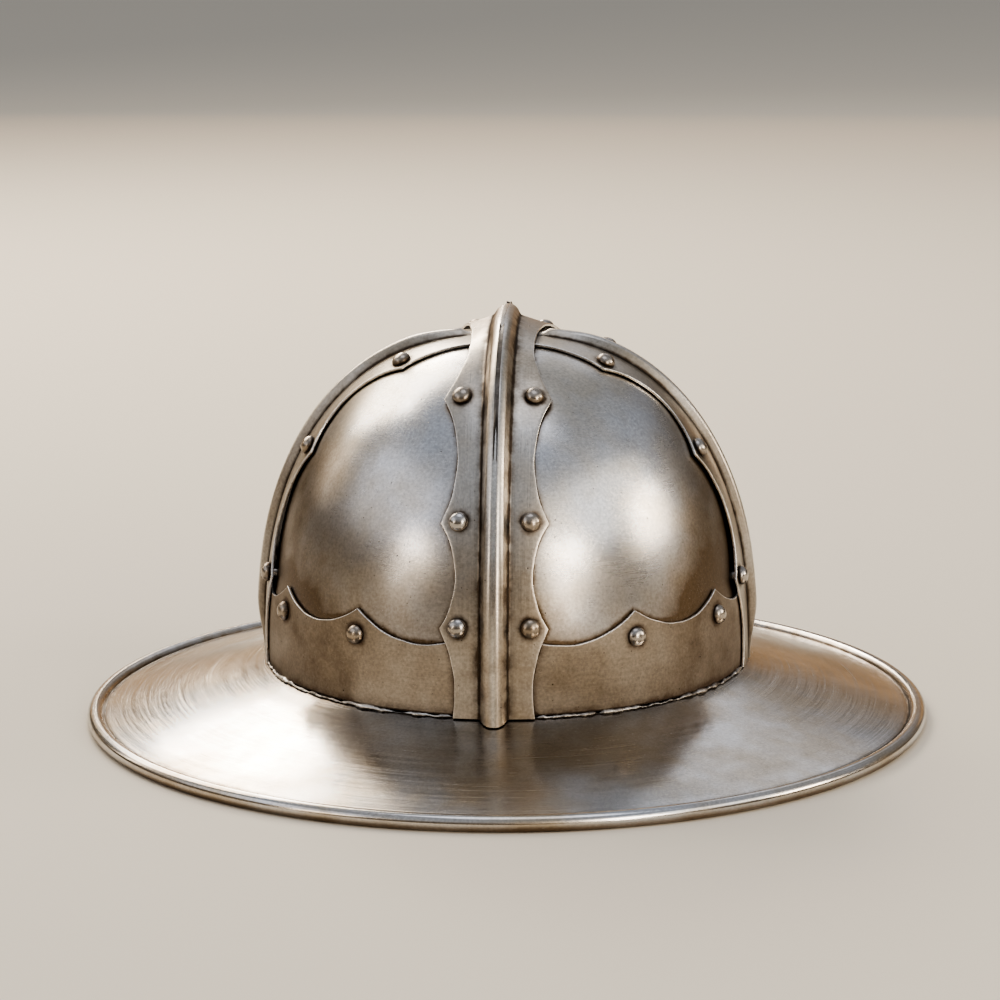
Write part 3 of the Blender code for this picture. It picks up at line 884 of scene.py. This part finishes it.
# Mild steel sheet, dished and planished, then polished: soft mirror with warm clouds and small pits
# Painted shade lies along the band edges and round rivets; low down and on the flanks a painted reflection of
# a brown floor darkens it.
POLISHED_PLATE_STEEL = AgedSteel(
    name="planished_polished_mild_steel", steel="c9c8c8", warm="bcb2a3", patina_and_shade="56442f", roughness=0.235,
    anisotropic=0.30, brush_length=0.010, brush_depth=0.0000001, brush_shine=0.03, brush_tone=0.05,
    recess_reach_mm=3.0, low_painted_shade=0.75, flank_painted_shade=0.80, flank_shade_reach=(0.060, 0.098), stain=0.12,
    pit_share=0.32, scratch=0.30, edge_wear_and_highlight=0.0, dent_depth=0.00005,
)
# Mild steel strip, drawn over a former and brushed along its length: tan-grey, with a dark seam and painted
# shade at its keel's feet and painted shade round its rivets
BRUSHED_COMB_STEEL = AgedSteel(
    name="brushed_mild_steel_comb", steel="c6bfb5", warm="b5a794", patina_and_shade="4a3b2c", roughness=0.28,
    brushed_round=Axis.ACROSS, anisotropic=0.45, brush_depth=0.0000016, recess_reach_mm=4.2, recess=0.75,
    rivet=1.1, rivet_reach_mm=7.2, low_painted_shade=0.10, stain=0.25, pit_share=0.40, scratch=0.15,
)
# The same strip on the side bands, with painted shade at the keel's feet, round the rivets and low down
BRUSHED_SIDE_STEEL = AgedSteel(
    name="brushed_mild_steel_side", steel="b8b1a7", warm="a69986", patina_and_shade="4a3b2c", roughness=0.31,
    brushed_round=Axis.FRONT, anisotropic=0.45, brush_depth=0.0000022, recess_reach_mm=2.4, recess=0.5,
    rivet=1.0, rivet_reach_mm=7.0, low_painted_shade=0.40, stain=0.20, pit_share=0.20, scratch=0.15,
)
# The same strip round the brow, darker in painted shade low down, towards its left and right sides, by the
# bands and round its rivets
BRUSHED_BROW_STEEL = AgedSteel(
    name="brushed_mild_steel_brow", steel="aea599", warm="9b8e7c", patina_and_shade="55463a", roughness=0.29,
    anisotropic=0.88, brush_depth=0.0000014, recess_reach_mm=4.0, recess=0.5, rivet=1.0, rivet_reach_mm=7.2,
    low_painted_shade=0.25, flank_painted_shade=0.35, flank_shade_reach=(0.050, 0.105), stain=0.22, pit_share=0.35, scratch=0.2,
)
# Turned steel rivets with hammered and polished domes: small bright mirrors, with brown and black painted
# shade round the foot of the dome
POLISHED_RIVET_STEEL = AgedSteel(
    name="polished_rivet_steel", steel="b9b5b0", warm="a09280", patina_and_shade="463627", roughness=0.22,
    anisotropic=0.0, brush_pitch=0.0008, brush_depth=0.0000005, recess_reach_mm=2.6, recess=1.0, rivet=0.0,
    stain=0.30, pit_share=0.12, edge_wear_and_highlight=0.0, dent_size=0.004, dent_depth=0.000008, speckle=0.3,
)
# Soft filler run along the joint and scraped: bright lumps with sooty stains, and painted shade low between
# them and along their foot
FILLER_METAL = AgedSteel(
    name="scraped_filler_metal", steel="d6d2cb", warm="9a9084", patina_and_shade="2b231c", roughness=0.32,
    anisotropic=0.0, brush_pitch=0.0010, brush_length=0.004, recess_reach_mm=0.9, recess=0.6, rivet=0.0,
    stain=1.0, stain_size=0.004, pit_share=0.35, edge_wear_and_highlight=0.0, dent_size=0.0022, dent_depth=0.00018,
)
# The inside of the sheets, left black from the forge and oiled: dull and dark
# Painted shade also darkens it round rivet tails and along band edges.
FORGE_BLACK_STEEL = AgedSteel(
    name="forge_black_mild_steel", steel="6f6a65", warm="5c554d", patina_and_shade="2c251f", roughness=0.44,
    anisotropic=0.2, recess=0.0, rivet=0.7, rivet_reach_mm=7.0, stain=0.9, pit_share=0.3, edge_wear_and_highlight=0.0,
    dent_size=0.018, dent_depth=0.00020,
)


@dataclass
class Brim:
    """The brim: a spun sheet with a collar inside the crown and a rolled edge.

    groove gives the thin inner step beside the bead: how far back each point is, in groove widths,
    and how deep, as a share of the groove's depth.
    """

    half_width: float = 0.1915
    bead_radius: float = 0.0037
    bead_flat: float = 0.0024
    flare_height: float = 0.0024
    flare_length: float = 0.006
    collar_height: float = 0.0344
    collar_bend_height: float = 0.0042
    groove_width: float = 0.0011
    groove_depth: float = 0.00045
    groove: tuple[Span, ...] = ((1.6, 0.0), (1.05, 0.25), (0.7, 0.8), (0.4, 1.0), (0.15, 0.75))
    flare_shares: tuple[float, ...] = (0.012, 0.025, 0.04, 0.06, 0.09, 0.13)
    steps_round: int = 480
    bead_start: float = 157.0
    bead_end: float = -184.0
    bead_points: int = 44
    bead_points_above: int = 30
    sway: float = 0.00022
    sway_length: float = 0.085
    sway_from_crown: Span = (0.012, 0.030)
    sway_from_bead: Span = (0.020, 0.002)
    grain_spread: float = 1.4

    @property
    def bead_middle(self) -> Span:
        """Radius and height of the bead's middle."""
        height = math.sqrt(self.bead_radius**2 - (0.5 * self.bead_flat) ** 2)
        return self.half_width - self.bead_radius, height

    @property
    def meet(self) -> Span:
        """Radius and height where the sheet's face meets the bead."""
        (radius, height), turn = self.bead_middle, math.radians(self.bead_start)
        return radius + self.bead_radius * math.cos(turn), height + self.bead_radius * math.sin(turn)

    def top(self, radius: Array) -> Array:
        """Height of the brim's upper face, flared near the crown and straight towards the rim.

        Args:
            radius: Distances from the middle axis of the round hat.

        Returns:
            One height for each radius.
        """
        start = CROWN.half_width + LAYERS.layer_gap
        meet_radius, meet_height = self.meet
        share = (radius - start) / (meet_radius - start)
        drop = CROWN.foot_height - LAYERS.seat_gap - meet_height - self.flare_height
        flare = self.flare_height * np.exp((start - radius) / self.flare_length)
        return meet_height + drop * (1.0 - share) + flare

    def section(self) -> tuple[Array, Array, int]:
        """Section of the brim at +X.

        Returns:
            Radius and height of each point, its distance from a recess in millimetres, and how
            many points the upper face and the bead's top take.
        """
        wall = CROWN.level(0.0, np.linspace(self.collar_height, self.collar_bend_height, 14))
        wall = wall - CROWN.normals(wall) * LAYERS.first_out
        upper = [(point[0], point[2]) for point in wall]
        foot_radius, inner_radius = CROWN.half_width + LAYERS.layer_gap, CROWN.half_width - LAYERS.first_out
        bend_top = CROWN.foot_height + self.collar_bend_height
        for angle in np.radians(np.linspace(12.0, 90.0, 7)):
            out = (foot_radius - inner_radius) * (1.0 - math.cos(angle))
            drop = (self.collar_bend_height + LAYERS.seat_gap) * math.sin(angle)
            upper.append((inner_radius + out, bend_top - drop))
        meet_radius = self.meet[0]
        shares = [*self.flare_shares, *np.linspace(0.18, 0.96, 34)]
        places = [(foot_radius + (meet_radius - foot_radius) * share, 0.0) for share in shares]
        places += [(meet_radius - self.groove_width * back, sunk) for back, sunk in self.groove]
        upper += [(radius, self.top(radius) - self.groove_depth * sunk) for radius, sunk in places]
        radius, height = self.bead_middle
        turn = np.radians(np.linspace(self.bead_start, self.bead_end, self.bead_points))
        bead = np.stack([radius + self.bead_radius * np.cos(turn),
                         np.maximum(height + self.bead_radius * np.sin(turn), 0.0)], -1)
        face = np.array(upper)
        under = inner_face(face)[:-4]
        section = np.concatenate([face, bead, under[::-1]])
        # Painted shade: these distances darken the corner at the crown's foot and the groove by the bead.
        from_crown = np.abs(section[:, 0] - foot_radius - LAYERS.first_out)
        from_groove = np.abs(section[:, 0] - meet_radius + 0.4 * self.groove_width)
        return section, np.minimum(from_crown, from_groove) / MM, len(face) + self.bead_points_above

    def build(self) -> None:
        """Turn the section once round, a little unevenly, and dress it."""
        section, recess, face_points = self.section()
        turn = np.linspace(0.0, FULL_TURN, self.steps_round, endpoint=False)[:, None]
        radius = section[:, 0]
        rings = around(radius, turn, section[:, 1])
        reach = smooth_share(radius - CROWN.half_width, *self.sway_from_crown)
        reach = reach * smooth_share(radius - self.meet[0], *(-back for back in self.sway_from_bead[::-1]))
        rings[..., 2] += waviness(rings * (1.0, 1.0, 0.0), self.sway_length, 11) * self.sway * reach
        length = np.cumsum(np.linalg.norm(np.diff(section, axis=0, prepend=section[:1]), axis=1))
        marks = {"grain": around(CROWN.half_width * self.grain_spread, turn, length), "recess_mm": recess}
        shell = Shell("brim_spun", CROWN.oval(rings), marks, (face_points, len(section)), looped=True)
        shell.dress(Slot.BRIM, [SPUN_BRIM_STEEL, FORGE_BLACK_STEEL], "brim")


@dataclass
class CrownPlate:
    """One dished quarter of the crown."""

    quarter: str
    columns: int = 110
    rows: int = 100
    foot_rise: float = 0.0030
    apex_corner: float = 0.008
    planishing: float = 0.00011
    planishing_size: float = 0.040

    def build(self) -> None:
        """Shape the plate on the crown's face, uneven as planished sheet is, and dress it."""
        low = math.degrees(math.atan2(self.foot_rise, CROWN.half_width))
        high = 90.0 - math.degrees(math.atan2(self.apex_corner, CROWN.rise))
        face = CROWN.rib(0.0, np.linspace(low, high, self.rows + 1), 0.0)[:, None]
        seam = np.degrees(np.arcsin(0.5 * LAYERS.seam_gap / face[..., 0]))
        share = np.linspace(0.0, 1.0, self.columns + 1)
        azimuth = np.radians(QUARTERS[self.quarter] + seam + (90.0 - 2.0 * seam) * share)
        outer = around(face[..., 0], azimuth, face[..., 2])
        normal = CROWN.normals(outer)
        seed = 20 + list(QUARTERS).index(self.quarter)
        top = outer + normal * waviness(outer, self.planishing_size, seed)[..., None] * self.planishing
        round_rings = np.concatenate([top, (top - normal * LAYERS.sheet)[:, ::-1]], axis=1)
        turned = np.degrees(np.arctan2(round_rings[..., 1], round_rings[..., 0]))
        over_brow = (round_rings[..., 2] - CROWN.foot_height - BROW.top(turned)) / MM
        rings = CROWN.oval(round_rings)
        climb = np.arctan2(rings[..., 2] - CROWN.foot_height, np.hypot(rings[..., 0], rings[..., 1]))
        marks = {
            "grain": np.stack([rings[..., 0], rings[..., 1], climb * CROWN.rise], -1),
            # Painted shade: the plates darken in a black line and a brown band along the edges of the bands
            # over them.
            "recess_mm": np.maximum(np.minimum(beside_bands(round_rings), over_brow), 0.0),
            "rivet_mm": rivet_distance(rings),
        }
        count = rings.shape[1]
        shell = Shell(f"plate_{self.quarter}_dished", rings, marks, (count // 2, count - 1))
        shell.dress(Slot.PLATE, [POLISHED_PLATE_STEEL, FORGE_BLACK_STEEL], f"plate_{self.quarter}")


@dataclass
class BrowBand:
    """The ring round the crown's foot, with a scalloped upper edge rubbed bright."""

    segments: int = 40
    rows: int = 26
    crowding: float = 1.4
    edge_round: float = 0.00035
    edge_sway: float = 0.00012
    sway_length: float = 0.011

    def azimuths(self) -> Array:
        """Where the columns stand, with one exactly at each cusp.

        Returns:
            The azimuths in degrees, once round.
        """
        quarter = []
        cusps = BROW.cusps()
        for start, end in zip(cusps, cusps[1:]):
            quarter += [start, *spaced(start, end, self.segments)[:-1]]
        near = [-90.0 + 90.0 * share for share in quarter]
        far = [90.0 - 90.0 * share for share in quarter[:0:-1]]
        half = near + [0.0] + far
        return np.array(half + [azimuth + 180.0 for azimuth in half])

    def build(self) -> None:
        """Shape the ring, round its upper edge and dress it."""
        azimuth = self.azimuths()[:, None]
        sway = waviness(CROWN.level(azimuth, 0.03), self.sway_length, 31) * self.edge_sway
        top = BROW.top(azimuth) + sway
        reach = 1.0 - np.linspace(1.0, 0.0, self.rows) ** self.crowding
        radius = self.edge_round
        bend = np.radians(np.linspace(22.5, 90.0, 4))
        outs = [LAYERS.first_out] * self.rows
        outs += [LAYERS.first_out - radius * (1.0 - math.cos(angle)) for angle in bend]
        down = [(top - radius) * share for share in reach]
        down += [top - radius + radius * math.sin(angle) for angle in bend]
        down += down[::-1]
        outs += [LAYERS.layer_gap + (LAYERS.first_out - out) * 0.5 for out in outs[::-1]]
        height = np.concatenate(down, axis=1)
        base = CROWN.level(azimuth, height)
        rings = CROWN.oval(base + CROWN.normals(base) * np.array(outs)[None, :, None])
        beside = np.maximum(beside_bands(base), 0.0)
        slope = np.abs(np.gradient(top[:, 0], np.radians(azimuth[:, 0]) * CROWN.half_width))[:, None]
        marks = {
            "grain": around(CROWN.half_width, np.radians(azimuth), height),
            # Painted shade darkens the band by the other bands and towards its foot at the brim.
            "recess_mm": np.minimum(beside, height / MM), "rivet_mm": rivet_distance(rings),
            "edge_mm": (top - height) / np.sqrt(1.0 + slope**2) / MM,
        }
        count = height.shape[1]
        shell = Shell("brow_band_scalloped", rings, marks, (count // 2 + 4, count), looped=True)
        shell.dress(Slot.BAND, [BRUSHED_BROW_STEEL, FORGE_BLACK_STEEL], "brow_band")


def fillet(before: Array, corner: Array, after: Array, radius: float, count: int) -> list[Array]:
    """Points of an arc that rounds a corner off.

    Args:
        before: A point before the corner.
        corner: The corner.
        after: A point after it.
        radius: Radius of the arc.
        count: Number of points.

    Returns:
        The arc's points, from the side of before to the side of after.
    """
    back = (before - corner) / np.linalg.norm(before - corner)
    ahead = (after - corner) / np.linalg.norm(after - corner)
    half = 0.5 * math.acos(float(np.clip(back @ ahead, -1.0, 1.0)))
    reach = radius / math.tan(half)
    middle = corner + (back + ahead) / np.linalg.norm(back + ahead) * (radius / math.sin(half))
    start, end = corner + back * reach - middle, corner + ahead * reach - middle
    span = math.acos(float(np.clip(start @ end / radius**2, -1.0, 1.0)))
    points = []
    for turn in np.linspace(0.0, span, count):
        points.append(middle + (start * math.sin(span - turn) + end * math.sin(turn)) / math.sin(span))
    return points


@dataclass
class KeeledBand:
    """A band over the crown: scalloped flanges, edges rubbed bright and a rounded keel, its ridge lightened
    partly as rubbed wear and partly as a painted highlight.
    """

    name: str
    form: BandForm
    azimuth: float
    finish: AgedSteel
    brim: Brim
    ridge_radius: float = 0.0042
    foot_radius: float = 0.0018
    ridge_crown: float = 0.00025
    edge_round: float = 0.00035
    edge_sway: float = 0.00013
    sway_length: float = 0.010
    sway_step: float = 0.002
    # Width of the keel's ridge that is lightened, partly as rubbed wear, partly as a painted highlight.
    ridge_highlight: float = 0.12
    row_step: float = 1.15
    flange_points: int = 12

    def climbs(self) -> Array:
        """Where the stations lie, with one exactly at each cusp.

        Returns:
            The climbs in degrees, end to end.
        """
        end_climb = self.form.end_climb
        stops = [0.0, *[cusp for cusp in self.form.cusps() if 0.0 < cusp < end_climb], end_climb]
        climbs = [0.0]
        for start, end in zip(stops, stops[1:]):
            climbs += spaced(start, end, max(4, round((end - start) / self.row_step)))
        return np.array(climbs)

    def half_section(self, width: float, keel: float, tent: float) -> Array:
        """Outer face from the keel's ridge to the flange's rounded edge.

        Args:
            width: Half width of the band.
            keel: Height of the keel.
            tent: How far the flange rises to the keel.

        Returns:
            Distance across and height of each point.
        """
        ridge = np.array([self.form.keel_ridge, keel - self.ridge_crown])
        foot = np.array([self.form.keel_foot, tent])
        points = [ridge * (share, 1.0) for share in (0.0, 0.15, 0.3)]
        points += fillet(ridge * (0.0, 1.0), ridge, foot, self.ridge_radius, 9)
        points += fillet(ridge, foot, np.array([width, 0.0]), self.foot_radius, 6)
        start, end = points[-1], np.array([width - self.edge_round, 0.0])
        points += [start + (end - start) * share for share in np.linspace(0.0, 1.0, self.flange_points)[1:]]
        for angle in np.radians(np.linspace(22.5, 90.0, 4)):
            points.append(end + self.edge_round * np.array([math.sin(angle), math.cos(angle) - 1.0]))
        section = np.array(points)
        inside = np.clip(1.0 - (section[:, 0] / self.form.keel_ridge) ** 2, 0.0, 1.0)
        section[:, 1] += self.ridge_crown * inside
        return section

    def section(self, width: float, keel: float, tent: float) -> Array:
        """Whole section: outer face from left to right, then the inner face back.

        Args:
            width: Half width of the band.
            keel: Height of the keel.
            tent: How far the flanges rise to the keel.

        Returns:
            Distance across and height of each point.
        """
        half = self.half_section(width, keel, tent)
        outer = np.concatenate([half[:0:-1] * (-1.0, 1.0), half])
        inner = inner_face(outer)
        rim = 5
        for index in range(rim):
            lift = self.edge_round * 0.5 * (1.0 - index / (rim - 1)) ** 2
            for end in (index, -1 - index):
                inner[end] = (outer[end][0], lift - LAYERS.sheet)
        return np.concatenate([outer, inner[::-1]])

    def build(self) -> None:
        """Carry the section over the crown and dress the band."""
        climbs = self.climbs()
        sway = waviness(climbs[:, None] * (self.sway_step, 0.0, 0.0), self.sway_length, 41) * self.edge_sway
        widths = self.form.width(climbs) + sway
        stations = zip(widths, self.form.keel(climbs), self.form.tent(climbs))
        sections = np.stack([self.section(*station) for station in stations])
        across, rise = sections[..., 0], sections[..., 1]
        out = self.form.out(climbs)[:, None] + rise
        face = CROWN.rib(self.azimuth, climbs[:, None], across)
        round_rings = face + CROWN.normals(face) * out[..., None]
        for row in (0, -1):
            if climbs[row] in (0.0, 180.0):
                radius = np.hypot(round_rings[row, :, 0], round_rings[row, :, 1])
                round_rings[row, :, 2] = self.brim.top(radius - LAYERS.sheet) + LAYERS.seat_gap
        rings = CROWN.oval(round_rings)
        along = np.radians(climbs)[:, None] * CROWN.rise
        # The ridge takes the bright edge colour: partly rubbed wear, partly a painted highlight.
        from_ridge = self.ridge_highlight * MM + 0.2 * np.abs(across)
        # Painted shade and a dark seam line run along the keel's feet; painted shade rings the rivets.
        marks = {
            "grain": np.stack(np.broadcast_arrays(along, 0.0, across + 0.4 * rise), -1),
            "recess_mm": np.abs(np.abs(across) - self.form.keel_foot) / MM, "rivet_mm": rivet_distance(rings),
            "edge_mm": np.minimum(widths[:, None] - np.abs(across), from_ridge) / MM,
        }
        count = rings.shape[1]
        shell = Shell(f"{self.name}_keeled", rings, marks, (count // 2 + 4, count - 5))
        shell.dress(Slot.BAND, [self.finish, FORGE_BLACK_STEEL], self.name)


@dataclass
class DomedRivet:
    """A rivet: a hammered dome outside, its shank, and a peened tail inside."""

    seat: RivetSeat
    number: int
    head_radius: float = 0.00435
    head_height: float = 0.0034
    head_undercut: float = 0.0002
    shank_radius: float = 0.0020
    tail_radius: float = 0.0033
    tail_height: float = 0.0012
    tail_clearance: float = 0.0013
    hammering: float = 0.00007
    hammer_mark: float = 0.0075
    hammered_above: float = 0.0012
    flattening: Span = (0.985, 1.015)
    most_lean: float = 1.5
    steps_round: int = 40

    def profile(self) -> Array:
        """Radius and height down the rivet's side, from the dome's middle to the tail's.

        Returns:
            Two values for each point.
        """
        stack = LAYERS.seat_gap + self.seat.out + LAYERS.sheet + self.seat.collar + self.tail_clearance
        head, tail = self.head_radius, self.tail_radius
        points = []
        for angle in np.radians(np.linspace(2.0, 90.0, 14)):
            points.append((head * math.sin(angle) ** 0.93, self.head_height * math.cos(angle) ** 1.05))
        points += [(head * 0.985, -0.6 * self.head_undercut), (head * 0.94, -self.head_undercut)]
        points += [(self.shank_radius, -self.head_undercut), (self.shank_radius, -stack)]
        points.append((tail * 0.95, -stack))
        for angle in np.radians((15.0, 40.0, 65.0, 86.0)):
            points.append((tail * math.cos(angle), -stack - self.tail_height * math.sin(angle)))
        return np.array(points)

    def build(self) -> None:
        """Turn the rivet, flatten it a little at random as a hammer does, and set it in its seat."""
        draw = np.random.default_rng(100 + self.number)
        profile = self.profile()
        turn = np.linspace(0.0, FULL_TURN, self.steps_round, endpoint=False)[:, None]
        local = around(profile[:, 0], turn, profile[:, 1])
        dome = smooth_share(local[..., 2], 0.0, self.hammered_above)
        uneven = waviness(local, self.hammer_mark, 200 + self.number) * self.hammering * dome
        local *= 1.0 + (uneven / self.head_radius)[..., None]
        local[..., :2] *= draw.uniform(*self.flattening)
        spin = Matrix.Rotation(draw.uniform(0.0, 6.28), 3, "Z")
        lean = Matrix.Rotation(math.radians(draw.uniform(-self.most_lean, self.most_lean)), 3, "X")
        matrix = np.array(Vector(self.seat.axis()).to_track_quat("Z", "Y").to_matrix() @ lean @ spin)
        places = local @ matrix.T + self.seat.place()
        # Painted shade darkens the dome towards its foot.
        recess = np.where(local[..., 2] < -0.001, FAR_MM, np.maximum(local[..., 2], 0.0) / MM)
        shell = Shell(f"{self.seat.name}_domed", places, {"grain": local, "recess_mm": recess},
                      (len(profile),) * 2, looped=True)
        shell.dress(Slot.RIVET, [POLISHED_RIVET_STEEL], self.seat.name)


@dataclass
class FillerSeam:
    """The uneven run of filler along the joint of brow band and brim, in one quarter."""

    quarter: str
    brim: Brim
    stations: int = 420
    section_points: int = 14
    radius: float = 0.00085
    off_band: float = 0.00035
    end_clearance: float = 0.0003
    lump_size: float = 0.0042
    swell_size: float = 0.016
    wander: float = 0.00022
    wander_length: float = 0.007
    grit: float = 0.00009
    grit_size: float = 0.0022

    def build(self) -> None:
        """Lay a lumpy bead between the comb band and the side band, and dress it."""
        reach = CROWN.half_width + LAYERS.first_out
        comb_end, side_end = (
            math.degrees(math.asin((float(form.width(0.0)) + self.end_clearance) / reach))
            for form in (COMB, SIDE)
        )
        start, end = (comb_end, side_end) if self.quarter in STARTS_AT_COMB else (side_end, comb_end)
        azimuth = np.radians(QUARTERS[self.quarter] + np.linspace(start, 90.0 - end, self.stations))
        flat = around(reach, azimuth, 0.0)
        seed = 60 + list(QUARTERS).index(self.quarter)
        lumps = 0.32 * waviness(flat, self.lump_size, seed) + 0.25 * waviness(flat, self.swell_size, seed + 9)
        ends = np.minimum(np.arange(self.stations), np.arange(self.stations)[::-1]) / 5.0
        size = (self.radius * np.clip(1.0 + lumps, 0.28, 1.7) * np.sqrt(np.clip(ends, 0.02, 1.0)))[:, None]
        wander = self.wander * waviness(flat, self.wander_length, seed + 20)
        middle = (reach + self.off_band + wander)[:, None]
        turn = np.linspace(0.0, FULL_TURN, self.section_points, endpoint=False)
        floor = self.brim.top(middle)
        height = floor + 0.0001 + size * (0.35 + 0.85 * np.sin(turn))
        rings = around(middle + size * np.cos(turn) * 0.95, azimuth[:, None], height)
        rings += waviness(rings, self.grit_size, seed + 30)[..., None] * self.grit
        # Painted shade darkens the bead where it sits low on the brim.
        marks = {"grain": rings, "recess_mm": np.abs(height - floor) / MM * 1.4}
        shell = Shell(f"filler_seam_{self.quarter}", CROWN.oval(rings), marks, (self.section_points,) * 2)
        shell.dress(Slot.BRIM, [FILLER_METAL])


@dataclass(frozen=True)
class SoftBox:
    """A soft studio light: an oblong panel aimed at the hat."""

    name: str
    place: Place
    size: Span
    power: float
    colour: str
    aim: Place = (0.0, 0.0, 0.08)

    def build(self) -> None:
        """Hang the light."""
        lamp = bpy.data.lights.new(self.name, "AREA")
        lamp.shape = "RECTANGLE"
        lamp.size, lamp.size_y = self.size
        lamp.energy = self.power
        lamp.color = linear(self.colour)[:3]
        holder = bpy.data.objects.new(self.name, lamp)
        holder.location = self.place
        holder.rotation_euler = (Vector(self.aim) - Vector(self.place)).to_track_quat("-Z", "Y").to_euler()
        holder.visible_camera = False
        bpy.context.scene.collection.objects.link(holder)


@dataclass(frozen=True)
class Studio:
    """A plain pale floor, soft light and the camera at the photograph's angle.

    sky_stops holds the room's colours by height, from level with the hat (0) to overhead (1).
    """

    floor_half: float = 12.0
    floor_colour: str = "d8cdba"
    floor_roughness: float = 0.85
    sky_strength: float = 0.80
    sky_stops: tuple[tuple[float, str], ...] = (
        (0.0, "54442f"), (0.12, "5e5142"), (0.26, "857d73"),
        (0.45, "a5a7ac"), (0.72, "c3cad5"), (1.0, "b0b8c5"),
    )
    camera_place: Place = (0.0888, -1.7978, 0.4784)
    camera_ahead: Place = (-0.0498, 0.9772, -0.2063)
    camera_roll: float = -0.22
    lens_mm: float = 145.8
    lights: tuple[SoftBox, ...] = (
        SoftBox("back_left", (-1.07, 1.23, 1.42), (1.20, 1.05), 29.0, "fff3e2"),
        SoftBox("back_fan", (-0.51, 1.76, 1.16), (0.46, 0.56), 15.0, "fff6ea"),
        SoftBox("back_low", (0.0, 2.39, 0.35), (2.60, 0.42), 1.7, "ffc88a"),
        SoftBox("back_right_broad", (0.33, 1.88, 1.39), (0.85, 0.80), 1.6, "eef2ff"),
        SoftBox("left_strip", (-1.75, 0.95, 0.70), (0.26, 0.56), 1.9, "ffedd6"),
        SoftBox("left_broad", (-1.88, -0.76, 1.24), (2.20, 1.10), 7.0, "eef2ff"),
        SoftBox("left_core", (-1.32, -1.28, 0.59), (0.46, 0.36), 2.3, "ffefdc"),
        SoftBox("right_broad", (1.83, -0.89, 1.24), (3.00, 0.92), 13.0, "f8f5f0"),
        SoftBox("right_core", (1.72, -0.06, 0.60), (0.57, 0.40), 8.4, "fff3e4"),
        SoftBox("front_right_core", (1.10, -1.51, 0.66), (0.62, 0.41), 8.4, "fff3e4"),
        SoftBox("front_right_low", (1.06, -1.63, 0.22), (0.18, 0.28), 3.4, "fff3e4"),
        SoftBox("front_left_low", (-1.53, -1.20, 0.24), (0.16, 0.26), 0.6, "ffefdc"),
        SoftBox("overhead", (0.1, -0.2, 2.3), (1.2, 1.2), 9.0, "e4ecff"),
    )

    def floor(self) -> None:
        """Lay the floor."""
        mesh = bpy.data.meshes.new("floor")
        half = self.floor_half
        corners = [(-half, -half, 0.0), (half, -half, 0.0), (half, half, 0.0), (-half, half, 0.0)]
        mesh.from_pydata(corners, [], [(0, 1, 2, 3)])
        ground = bpy.data.objects.new("floor", mesh)
        bpy.context.scene.collection.objects.link(ground)
        paint = bpy.data.materials.new("matt_pale_board")
        paint.use_nodes = True
        shader = paint.node_tree.nodes["Principled BSDF"]
        shader.inputs["Base Color"].default_value = linear(self.floor_colour)
        shader.inputs["Roughness"].default_value = self.floor_roughness
        mesh.materials.append(paint)

    def sky(self) -> None:
        """Light the room: cool overhead, dim and warm towards the floor."""
        world = bpy.data.worlds.new("studio_room")
        world.use_nodes = True
        tree = world.node_tree
        tree.nodes.clear()
        height = add_node(tree, "SeparateXYZ", [add_node(tree, "TexCoord")]).outputs["Z"]
        ramp = add_node(tree, "ValToRGB", [height])
        elements = ramp.color_ramp.elements
        elements.remove(elements[1])
        elements[0].color = linear(self.sky_stops[0][1])
        for position, colour in self.sky_stops[1:]:
            elements.new(position).color = linear(colour)
        add_node(tree, "OutputWorld", [add_node(tree, "Background", [ramp, self.sky_strength])])
        bpy.context.scene.world = world

    def camera(self) -> None:
        """Set the camera at the photograph's angle."""
        lens = bpy.data.cameras.new("photo_camera")
        lens.lens = self.lens_mm
        lens.sensor_width = 36.0
        lens.clip_end = 60.0
        holder = bpy.data.objects.new("photo_camera", lens)
        ahead = Vector(self.camera_ahead).normalized()
        right = ahead.cross(Vector((0.0, 0.0, 1.0))).normalized()
        up = right.cross(ahead)
        roll = math.radians(self.camera_roll)
        across = right * math.cos(roll) + up * math.sin(roll)
        upward = up * math.cos(roll) - right * math.sin(roll)
        turn = Matrix((across, upward, -ahead)).transposed().to_4x4()
        holder.matrix_world = Matrix.Translation(Vector(self.camera_place)) @ turn
        bpy.context.scene.collection.objects.link(holder)
        bpy.context.scene.camera = holder

    def build(self) -> None:
        """Set the whole studio up."""
        bpy.context.scene.view_settings.look = "AgX - Medium High Contrast"
        self.floor()
        self.sky()
        for light in self.lights:
            light.build()
        self.camera()


def main() -> None:
    """Build the studio and the hat, from the brim up."""
    logging.basicConfig(level=logging.INFO, format="%(name)s: %(message)s")
    Studio().build()
    brim = Brim()
    brim.build()
    for quarter in QUARTERS:
        CrownPlate(quarter).build()
    BrowBand().build()
    for quarter in QUARTERS:
        FillerSeam(quarter, brim).build()
    KeeledBand("comb_band", COMB, -90.0, BRUSHED_COMB_STEEL, brim).build()
    for side, azimuth in (("right", 0.0), ("left", 180.0)):
        KeeledBand(f"side_band_{side}", SIDE, azimuth, BRUSHED_SIDE_STEEL, brim, foot_radius=0.0010,
                   ridge_radius=0.0020).build()
    for number, seat in enumerate(RIVET_SEATS):
        DomedRivet(seat, number).build()


if __name__ == "__main__":
    main()
